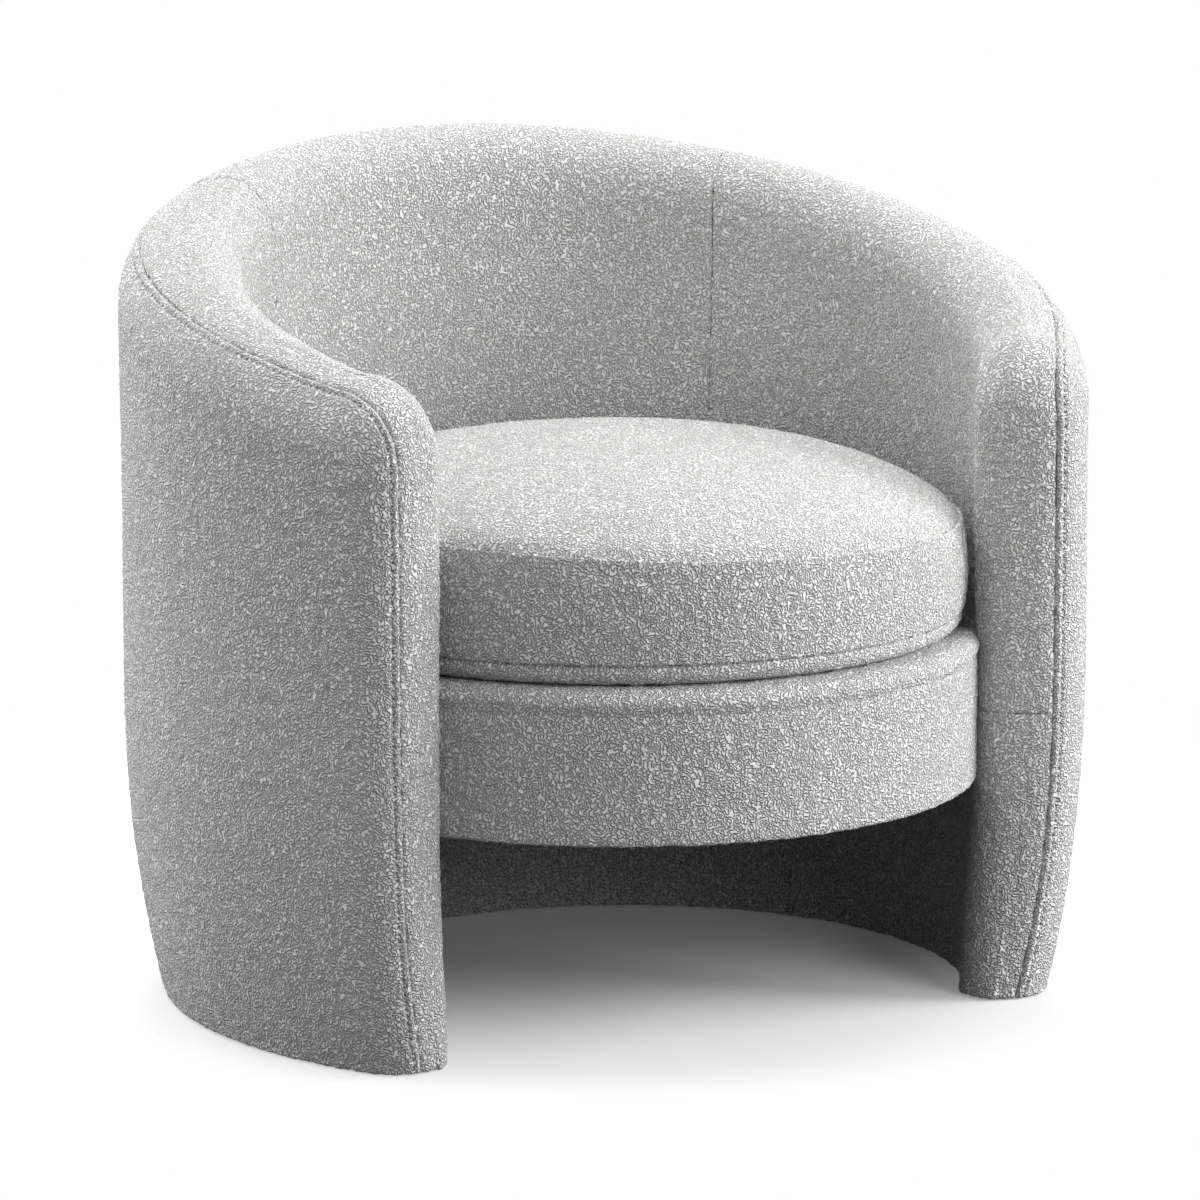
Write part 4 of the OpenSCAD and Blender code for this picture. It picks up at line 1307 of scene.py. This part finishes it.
@dataclass
class SeatDeck:
    """The upholstered drum that carries the cushion: its top, front band and dust cloth.

    Attributes:
        side_cells, edge_steps: Cells across the top, and steps round its edge.
        bulge: How far the edge stands out over the drum's side.
        band_a: Plan angle of the front band's ends, which lie behind the arms.
        seam_curve: A cover's rolled edge, as each point's distance inside the drum's side and
            from the seam towards the cover.
        hem_curve: The band's hem, as each point's distance inside the drum's side and over its
            lower edge.
        side_clear: Distances of the band's even rows from its lower edge and from the seam.
        sag, gathers, gather_h, gather_fall: The dust cloth's sag, and the gathers at its staples.
    """

    form: ShellForm = field(default_factory=ShellForm)
    pitch: float = 12 * MM
    side_cells: int = 40
    edge_steps: int = 4
    seam_z: float = 297 * MM
    edge_r: float = 12 * MM
    bulge: float = 2.4 * MM
    band_a: float = 116.0
    seam_curve: tuple[tuple[float, float], ...] = ((4 * MM, -2 * MM), (2 * MM, -1 * MM),
                                                   (0.72 * MM, 0.4 * MM))
    hem_curve: tuple[tuple[float, float], ...] = ((22 * MM, 2 * MM), (8.8 * MM, 0.6 * MM),
                                                  (4 * MM, 0.5 * MM), (1 * MM, 1.6 * MM),
                                                  (0.0, 5 * MM))
    side_clear: tuple[float, float] = (14 * MM, 4 * MM)
    fill: float = 0.7
    cloth_r: float = 275 * MM
    cloth_steps: int = 144
    cloth_shares: tuple[float, ...] = (1.0, 0.985, 0.96, 0.9, 0.8, 0.68, 0.55, 0.42, 0.3, 0.18,
                                       0.07)
    cloth_over: float = 0.6 * MM
    sag: float = 3 * MM
    gathers: int = 36
    gather_h: float = 0.35 * MM
    gather_fall: float = 14.0

    def build(self) -> None:
        """Builds the three pieces."""
        self.build_top()
        self.build_band()
        self.build_dust_cloth()

    def seam_edge(self, way: int, clear: float) -> list[tuple[float, float]]:
        """Draws the edge of a cover at the seam, from its rolled end out to the drum's side.

        Args:
            way: 1 for the cover over the seam and -1 for the one under it.
            clear: Height in which the cover reaches the drum's side.

        Returns:
            Radius and height of each point.
        """
        r, z = self.form.deck_r, self.seam_z
        return [*((r - inside, z + way * over) for inside, over in self.seam_curve),
                (r, z + way * clear)]

    def finish(self, piece: bpy.types.Object, node: str) -> None:
        """Args:
            piece: The cover.
            node: The CAD node that it stands for.
        """
        subdivide(piece, 2)
        NUBS.raise_on(piece)
        dress_padded(piece, BOUCLE, Body.CHAIR, node)

    def build_top(self) -> None:
        """Builds the drum's top cover, with its rounded edge down to the seam."""
        top, r = self.form.deck_top_z, self.form.deck_r
        turns = [math.radians(90 * i / self.edge_steps) for i in range(self.edge_steps + 1)]
        profile = self.seam_edge(way=1, clear=3 * MM)
        profile += [(r + self.bulge * math.cos(a) ** 2 - self.edge_r * (1 - math.cos(a)),
                     top - self.edge_r * (1 - math.sin(a))) for a in turns]
        disc, rim, quads = disc_grid(self.side_cells)
        levels = [at_level(disc[rim], reach, z) for reach, z in profile[:-1]]
        points = np.concatenate([*levels, at_level(disc, *profile[-1])])
        points[:, 1] += self.form.seat_y
        base = len(levels) * len(rim)
        rings = [*np.arange(base).reshape(len(levels), len(rim)), base + rim]
        faces = [strip(low, high) for low, high in zip(rings, rings[1:])]
        piece = new_mesh("deck_top_upholstery", points, np.concatenate([*faces, quads + base]))
        self.finish(piece, "deck_top_cover")

    def build_band(self) -> None:
        """Builds the drum's front band, under the seam, with its hem turned under."""
        r, low = self.form.deck_r, self.form.deck_low_z
        hem = [(r - inside, low + over) for inside, over in self.hem_curve]
        first, last = low + self.side_clear[0], self.seam_z - self.side_clear[1]
        side = [(r, z) for z in graded(first, last, (), (), self.pitch)]
        profile = np.array(hem + side + self.seam_edge(way=-1, clear=3.5 * MM)[::-1])
        start, end = self.band_a, 360 - self.band_a
        steps = round(math.radians(end - start) * r / self.pitch)
        points, faces = revolved(profile, self.form.seat_y, start, end, steps)
        self.finish(new_mesh("deck_band_upholstery", points, faces), "deck_band_cover")

    def build_dust_cloth(self) -> None:
        """Builds the black cloth stapled under the drum, with a slight sag and gathered edge."""
        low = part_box("dust_cover")[0].z + self.cloth_over
        profile = np.array([(self.cloth_r * share, low) for share in self.cloth_shares])
        points, faces = revolved(profile, self.form.seat_y, 0, 360, self.cloth_steps)
        faces = [face[::-1] for face in faces]
        faces.append([(i + 1) * len(profile) - 1 for i in range(self.cloth_steps)])
        x, y = points[:, 0], points[:, 1] - self.form.seat_y
        reach, turn = np.hypot(x, y) / self.cloth_r, np.arctan2(x, y)
        edge = np.exp(-((1 - reach) * self.gather_fall) ** 2)
        points[:, 2] += (self.gather_h * np.sin(turn * self.gathers) * edge
                         - self.sag * (1 - reach ** 2))
        piece = new_mesh("dust_cloth", points, faces)
        subdivide(piece, 1)
        dress(piece, LINING, Body.CHAIR, "dust_cover")


@dataclass
class SeatCushion:
    """The loose round cushion: crowned top, border with a zip at the back, and bottom.

    The cushion is laid out as one closed cage, bottom, border and top, and then cut at its seams.

    Attributes:
        bulge: How far the border's middle stands out over its seams.
        crown, crown_power, crown_round: Height of the top over its seam, and its curve.
        seam_tilt, tilt_way: How much the top seam drops, and towards where in plan.
        zip_a, zip_gap, zip_clear: Plan angle of the zip's ends, its gap and the rows beside it.
        front_flat, front_flat_turn: How far the front is drawn in, and over how many radians.
        roll, roll_share: Depth of the panels' rolled edges, and of the first of their two points.
        stitch_z: Height of the border's stitches over the bottom.
        wrap_in, core_in: Depth of the wadding and of the foam under the cover.
        start_share: Size at which the cloth starts, as a share of the cage's.
        low_hold: How firmly the bottom is held while the cover swells.
        cap, swell_share: Limit of the swelling, and the share of it that is kept.
    """

    form: ShellForm = field(default_factory=ShellForm)
    side_cells: int = 56
    edge_steps: int = 4
    pitch: float = 9 * MM
    near_seam: tuple[float, ...] = (2 * MM, 5 * MM)
    radius: float = 296 * MM
    bulge: float = 6 * MM
    low_z: float = 317.3 * MM
    seam_z: float = 425 * MM
    crown: float = 53 * MM
    crown_power: float = 2.6
    crown_round: float = 0.8
    seam_tilt: float = 12 * MM
    tilt_way: tuple[float, float] = (0.9, -0.44)
    edge_r: float = 17 * MM
    zip_a: float = 62.0
    zip_gap: float = 6 * MM
    zip_clear: float = 6 * MM
    front_flat: float = 3 * MM
    front_flat_turn: float = 0.7
    seam_sink: float = 3.0 * MM
    stitch_z: float = 13 * MM
    roll: float = 6.5 * MM
    roll_share: float = 0.65
    wrap_in: float = 7 * MM
    core_in: float = 14 * MM
    fill: float = 0.9
    start_share: float = 0.985
    low_hold: float = 0.6
    pressure: float = 4.0
    frames: int = 20
    cap: float = 9 * MM
    swell_share: float = 0.6

    points: np.ndarray = worked_out()
    faces: np.ndarray = worked_out()
    marks: np.ndarray = worked_out()
    rings: list[np.ndarray] = worked_out()
    zip_mark: int = field(init=False, repr=False)

    @property
    def mid_z(self) -> float:
        """Height of the border's middle, where the zip runs."""
        return (self.low_z + self.seam_z) / 2

    def from_centre(self) -> tuple[np.ndarray, np.ndarray]:
        """X and Y of the cage's points from the seat's centre."""
        return self.points[:, 0], self.points[:, 1] - self.form.seat_y

    def top_profile(self, reach: np.ndarray) -> np.ndarray:
        """Height of the crown over the seam at a share of the seam's radius."""
        return self.crown * (1 - np.clip(reach, 0, 1) ** self.crown_power) ** self.crown_round

    def border_r(self, z: float) -> float:
        """Works out the border's radius.

        Args:
            z: A height.

        Returns:
            The radius there, on an arc that bulges between the seams.
        """
        half = (self.seam_z - self.low_z) / 2
        arc = (half ** 2 + self.bulge ** 2) / (2 * self.bulge)
        return self.radius - arc + math.sqrt(arc ** 2 - (z - self.mid_z) ** 2)

    def border_heights(self) -> list[float]:
        """Sets out the border's rows, close together beside the seams and the zip.

        Returns:
            Their heights, up to the row under the top seam.
        """
        low, mid, gap = self.low_z + self.edge_r, self.mid_z, self.zip_gap / 2
        return [*graded(low, mid, self.near_seam, (self.zip_clear,), self.pitch), mid - gap,
                mid + gap, *graded(mid + self.zip_clear, self.seam_z, (), self.near_seam,
                                   self.pitch)]

    def cage(self) -> None:
        """Lays out the closed cage and marks each face with the ring under it.

        The bottom's faces are marked -1, and the top's with the number of rings.
        """
        disc, rim, quads = disc_grid(self.side_cells)
        around = disc[rim] / np.linalg.norm(disc[rim], axis=1, keepdims=True)
        low_r = self.border_r(self.low_z + self.edge_r)
        turns = [math.radians(90 * i / self.edge_steps) for i in range(1, self.edge_steps)]
        heights = self.border_heights()
        levels = [(low_r - self.edge_r * (1 - math.sin(a)),
                   self.low_z + self.edge_r * (1 - math.cos(a))) for a in turns]
        levels += [(self.border_r(z), z) for z in heights]
        self.zip_mark = self.edge_steps + heights.index(self.mid_z - self.zip_gap / 2)
        bottom = at_level(disc, low_r - self.edge_r, self.low_z)
        reach = np.linalg.norm(disc, axis=1)
        top = np.column_stack([disc * (self.radius - self.bulge),
                               self.seam_z + self.top_profile(reach)])
        self.points = np.concatenate([bottom, *(at_level(around, r, z) for r, z in levels), top])
        first_top = len(disc) + len(levels) * len(rim)
        middle = np.arange(len(disc), first_top).reshape(len(levels), len(rim))
        self.rings = [rim, *middle, first_top + rim]
        strips = [strip(low, high) for low, high in zip(self.rings, self.rings[1:])]
        self.faces = np.concatenate([quads[:, ::-1], *strips, quads + first_top])
        self.marks = np.repeat([-1, *range(len(strips)), len(self.rings)],
                               [len(quads), *[len(rim)] * len(strips), len(quads)])
        self.points[:, 1] += self.form.seat_y
        self.tilt_seam()
        self.flatten_front()

    def tilt_seam(self) -> None:
        """Lets the top seam run lower at one side and higher at the other, as in the photo."""
        x, y = self.from_centre()
        z = self.points[:, 2]
        side = (x * self.tilt_way[0] + y * self.tilt_way[1]) / self.radius
        share = np.clip((z - self.low_z) / (self.seam_z - self.low_z), 0, 1)
        over = np.clip((z - self.seam_z) / self.crown, 0, 1)
        self.points[:, 2] -= self.seam_tilt * side * share ** 2 * (1 - over)

    def flatten_front(self) -> None:
        """Draws the cushion's front in a little, where the cloth lies flatter."""
        x, y = self.from_centre()
        at_front = np.exp(-(np.arctan2(x, -y) / self.front_flat_turn) ** 2)
        reach = np.clip(np.hypot(x, y) / self.radius, 0, 1)
        self.points[:, 1] += self.front_flat * at_front * reach ** 2

    def swell(self) -> None:
        """Lets the cover swell over its filling as cloth under pressure, held at its two seams."""
        piece = new_mesh("cushion_cage", self.points, self.faces)
        centre = self.points.mean(axis=0)
        start = centre + (self.points - centre) * self.start_share
        for vertex, point in zip(piece.data.vertices, start):
            vertex.co = point
        held = piece.vertex_groups.new(name="held")
        seams = [int(i) for ring in (self.edge_steps, -1) for i in self.rings[ring]]
        low = [int(i) for i in np.nonzero(self.points[:, 2] < self.low_z + MM)[0]]
        held.add(seams, 1.0, "REPLACE")
        held.add(low, self.low_hold, "REPLACE")
        cloth = piece.modifiers.new("cloth", "CLOTH")
        settings = cloth.settings
        settings.use_pressure = True
        settings.uniform_pressure_force = self.pressure
        settings.effector_weights.gravity = 0.0
        settings.vertex_group_mass = "held"
        settings.pin_stiffness = 1.0
        settings.quality = 6
        settings.tension_stiffness = 12
        settings.compression_stiffness = 12
        settings.bending_stiffness = 0.6
        cloth.point_cache.frame_start = 1
        cloth.point_cache.frame_end = self.frames
        scene = bpy.context.scene
        for step in range(1, self.frames + 1):
            scene.frame_set(step)
        swollen = piece.evaluated_get(bpy.context.evaluated_depsgraph_get()).data
        move = np.array([vertex.co for vertex in swollen.vertices]) - start
        scene.frame_set(1)
        bpy.data.objects.remove(piece)
        size = np.linalg.norm(move, axis=1, keepdims=True)
        move *= np.minimum(1, self.cap / np.maximum(size, TINY))
        self.points += (start + move - self.points) * self.swell_share
        LOG.info("the cushion's cloth moved by %.1f mm at most", float(size.max()) / MM)

    def build(self) -> None:
        self.cage()
        self.swell()
        self.points[:, 2] = np.maximum(self.points[:, 2], self.low_z)
        self.fill_inside()
        turn = np.abs(np.degrees(np.arctan2(*self.from_centre())))
        behind = turn[self.faces].mean(axis=1) < self.zip_a
        on_bottom = self.marks < self.edge_steps
        on_top = self.marks > len(self.rings) - 2
        border = ~on_bottom & ~on_top
        at_zip = self.marks == self.zip_mark
        self.cut("cushion_top_panel", on_top, "cushion_top_cover")
        self.cut("cushion_border_panel", border & ~behind, "cushion_border", BOUCLE_STITCHED)
        self.cut("cushion_zip_panels", border & behind & ~at_zip, "cushion_zip_border")
        self.cut("cushion_bottom_panel", on_bottom, "cushion_bottom_cover", levels=1)

    def fill_inside(self) -> None:
        """Fills the cover with its wadding wrap and the foam core, which follow its form."""
        normals = smooth_normals(self.points, self.faces)
        for name, depth, finish, node in (
                ("cushion_wadding", self.wrap_in, WADDING, "cushion_wrap"),
                ("cushion_core", self.core_in, FOAM, "cushion_foam")):
            piece = new_mesh(name, self.points - normals * depth, self.faces)
            subdivide(piece, 1)
            dress_padded(piece, finish, Body.CUSHION, node)

    def cut(self, name: str, chosen: np.ndarray, node: str, finish: Finish = BOUCLE,
            levels: int = 2) -> None:
        """Cuts one panel of the cover from the cage and finishes it.

        Args:
            name: The panel's name.
            chosen: Which faces belong to it.
            node: The CAD node that it stands for.
            finish: Its cloth.
            levels: How often it is subdivided.
        """
        faces = self.faces[chosen]
        used, compact = np.unique(faces, return_inverse=True)
        normals = smooth_normals(self.points, self.faces)[used]
        points = [*self.points[used]]

        def turned_in(vertex: int) -> list[np.ndarray]:
            """The two points behind one of the edge's, in the seam."""
            inward = normals[vertex] * self.roll
            return [points[vertex] - inward * share for share in (self.roll_share, 1.0)]

        quads, rolled = roll_edges(points, compact.reshape(faces.shape), turned_in)
        for vertex in rolled:
            points[vertex] = points[vertex] - normals[vertex] * self.seam_sink
        piece = new_mesh(name, np.array(points), quads)
        if finish is BOUCLE_STITCHED:
            self.map_stitches(piece)
        subdivide(piece, levels)
        NUBS.raise_on(piece)
        dress_padded(piece, finish, Body.CUSHION, node)

    def map_stitches(self, piece: bpy.types.Object) -> None:
        """Writes the way round from the front and the height over the stitched line.

        Args:
            piece: The border's front panel.
        """
        vertices = piece.data.vertices
        spots = np.array([vertices[loop.vertex_index].co for loop in piece.data.loops])
        turn = np.arctan2(spots[:, 0], self.form.seat_y - spots[:, 1])
        over = spots[:, 2] - self.low_z - self.stitch_z
        write_seam_map(piece, np.column_stack([turn * self.radius, over]))


@dataclass
class FrameFinishes:
    """The finishes of the frame's own nodes: wood, boards, foam, wadding, steel and nylon."""

    def build(self) -> None:
        """Gives each node that stays the finish of its slot."""
        slots = {part["node"]: Slot(part["material_slot"]) for part in frame["record"]["subparts"]}
        for name, node in frame["nodes"].items():
            node.data.materials.clear()
            node.data.materials.append(FINISHES[slots[name]].material())
        LOG.info("finished %d nodes of the frame", len(frame["nodes"]))


@dataclass(frozen=True)
class Lamp:
    """One soft round lamp, placed by how far it stands to the camera's right and towards it."""

    name: str
    right: float
    near: float
    height: float
    size: float
    watts: float


LAMPS = (
    Lamp("overhead", right=0.0, near=-0.6, height=4.0, size=2.4, watts=54.0),
    Lamp("upper_back", right=0.0, near=-1.8, height=3.0, size=2.0, watts=52.0),
    Lamp("upper_left", right=-1.8, near=0.0, height=3.0, size=2.0, watts=33.0),
    Lamp("right", right=3.0, near=0.0, height=1.2, size=2.0, watts=105.0),
    Lamp("left", right=-3.0, near=0.0, height=1.2, size=2.0, watts=40.0),
    Lamp("back_left", right=-2.1, near=-2.1, height=1.5, size=2.0, watts=52.0),
    Lamp("front_right", right=2.1, near=2.1, height=1.5, size=2.0, watts=42.0),
)


@dataclass(frozen=True)
class Studio:
    """Pale floor, soft light and the camera at the photograph's angle.

    Attributes:
        azimuth, elevation, distance: Where the camera stands from the seat's axis at aim_z.
        shift_x, shift_y: Shift of its frame, in frame widths.
        fade_from, fade_to, fade_back: Radii between which the floor fades into the white world,
            and how far behind the chair their centre lies.
        floor_seen, floor_sent: The floor's grey to the camera, and to the light that it sends on.
        floor_glow: Share of the floor's own light in what the camera sees.
        world_fill: Strength of the world's light on the chair.
    """

    azimuth: float = -25.97
    elevation: float = 10.23
    distance: float = 5.0
    focal: float = 176.4
    sensor: float = 36.0
    aim_z: float = 0.37
    shift_x: float = -0.0191
    shift_y: float = -0.0323
    floor_r: float = 6.0
    floor_corners: int = 96
    fade_from: float = 0.30
    fade_to: float = 0.95
    fade_back: float = 0.25
    floor_seen: float = 0.95
    floor_sent: float = 0.08
    floor_glow: float = 0.04
    lamp_aim_z: float = 0.35
    world_fill: float = 0.24

    def build(self) -> None:
        """Builds the camera, the floor, the lamps and the world."""
        self.build_camera()
        self.build_floor()
        self.build_lamps()
        self.build_world()
        bpy.context.scene.view_settings.view_transform = "Standard"

    def aim(self, name: str, data: bpy.types.ID, at: Vector, way: Vector) -> bpy.types.Object:
        """Puts the camera or a lamp in the scene.

        Args:
            name: Its name.
            data: The camera's or the lamp's data.
            at: Its place.
            way: The way that it looks.

        Returns:
            The object.
        """
        made = bpy.data.objects.new(name, data)
        made.location = at
        made.rotation_euler = way.to_track_quat("-Z", "Y").to_euler()
        bpy.context.scene.collection.objects.link(made)
        return made

    def build_camera(self) -> None:
        """Aims the camera at the seat's axis and shifts it to the photograph's framing."""
        az, el = math.radians(self.azimuth), math.radians(self.elevation)
        back = Vector((math.sin(az) * math.cos(el), -math.cos(az) * math.cos(el), math.sin(el)))
        seen = Vector((0.0, ShellForm().seat_y, self.aim_z))
        data = bpy.data.cameras.new("camera")
        data.lens, data.sensor_width, data.sensor_fit = self.focal, self.sensor, "HORIZONTAL"
        data.shift_x, data.shift_y = self.shift_x, self.shift_y
        camera = self.aim("camera", data, seen + back * self.distance, -back)
        bpy.context.scene.camera = camera

    def build_floor(self) -> None:
        """Lays a pale floor that holds the chair's shadow and fades into the white world."""
        bpy.ops.object.select_all(action="DESELECT")
        bpy.ops.mesh.primitive_circle_add(vertices=self.floor_corners, radius=self.floor_r,
                                          fill_type="NGON", location=(0, 0, 0))
        floor = bpy.context.object
        floor.name = "floor"
        material = bpy.data.materials.new("floor")
        material.use_nodes = True
        shading = Shading(material.node_tree)
        az = math.radians(self.azimuth)
        centre = (self.fade_back * math.sin(az), -self.fade_back * math.cos(az), 0.0)
        level = shading.node("Mapping", Vector=shading.place(), Location=centre, Scale=(1, 1, 0))
        reach = shading.node("VectorMath", {"operation": "LENGTH"}, "Value", i0=level)
        seen = shading.node("LightPath", output="Is Camera Ray")
        tone = shading.mix(seen, grey(self.floor_sent), grey(self.floor_seen))
        lit = shading.node("BsdfDiffuse", Color=tone)
        glow = shading.node("Emission", Color=grey(1.0), Strength=1.0)
        lit = shading.node("MixShader", i0=seen * self.floor_glow, i1=lit, i2=glow)
        clear = shading.node("BsdfTransparent")
        faded = reach.ramp(self.fade_from, self.fade_to)
        surface = shading.node("MixShader", i0=faded, i1=lit, i2=clear)
        shading.node("OutputMaterial", Surface=surface)
        floor.data.materials.append(material)

    def build_lamps(self) -> None:
        """Sets the soft lamps round the chair, all aimed at the middle of its height."""
        az = math.radians(self.azimuth)
        right = Vector((math.cos(az), math.sin(az), 0.0))
        near = Vector((math.sin(az), -math.cos(az), 0.0))
        middle = Vector((0.0, 0.0, self.lamp_aim_z))
        for lamp in LAMPS:
            data = bpy.data.lights.new(lamp.name, "AREA")
            data.shape, data.size, data.energy = "DISK", lamp.size, lamp.watts
            at = right * lamp.right + near * lamp.near + Vector((0.0, 0.0, lamp.height))
            self.aim(lamp.name, data, at, middle - at)

    def build_world(self) -> None:
        """Makes a world that is white to the camera and in reflections, and a plain fill light."""
        world = bpy.data.worlds.new("studio")
        world.use_nodes = True
        bpy.context.scene.world = world
        shading = Shading(world.node_tree)
        rays = shading.node("LightPath").outputs()
        seen = rays["Is Camera Ray"]
        for other in ("Is Glossy Ray", "Is Transmission Ray"):
            seen = shading.maths("MAXIMUM", seen, rays[other])
        strength = seen * (1 - self.world_fill) + self.world_fill
        sky = shading.node("Background", Color=grey(1.0), Strength=strength)
        shading.node("OutputWorld", Surface=sky)


def main() -> None:
    """Builds the chair's looks in order."""
    logging.basicConfig(level=logging.INFO, format="%(name)s: %(message)s")
    for part in (Studio(), FrameFinishes(), ShellCovers(), SeatDeck(), SeatCushion()):
        LOG.info("building %s", type(part).__name__)
        part.build()


if __name__ == "__main__":
    main()
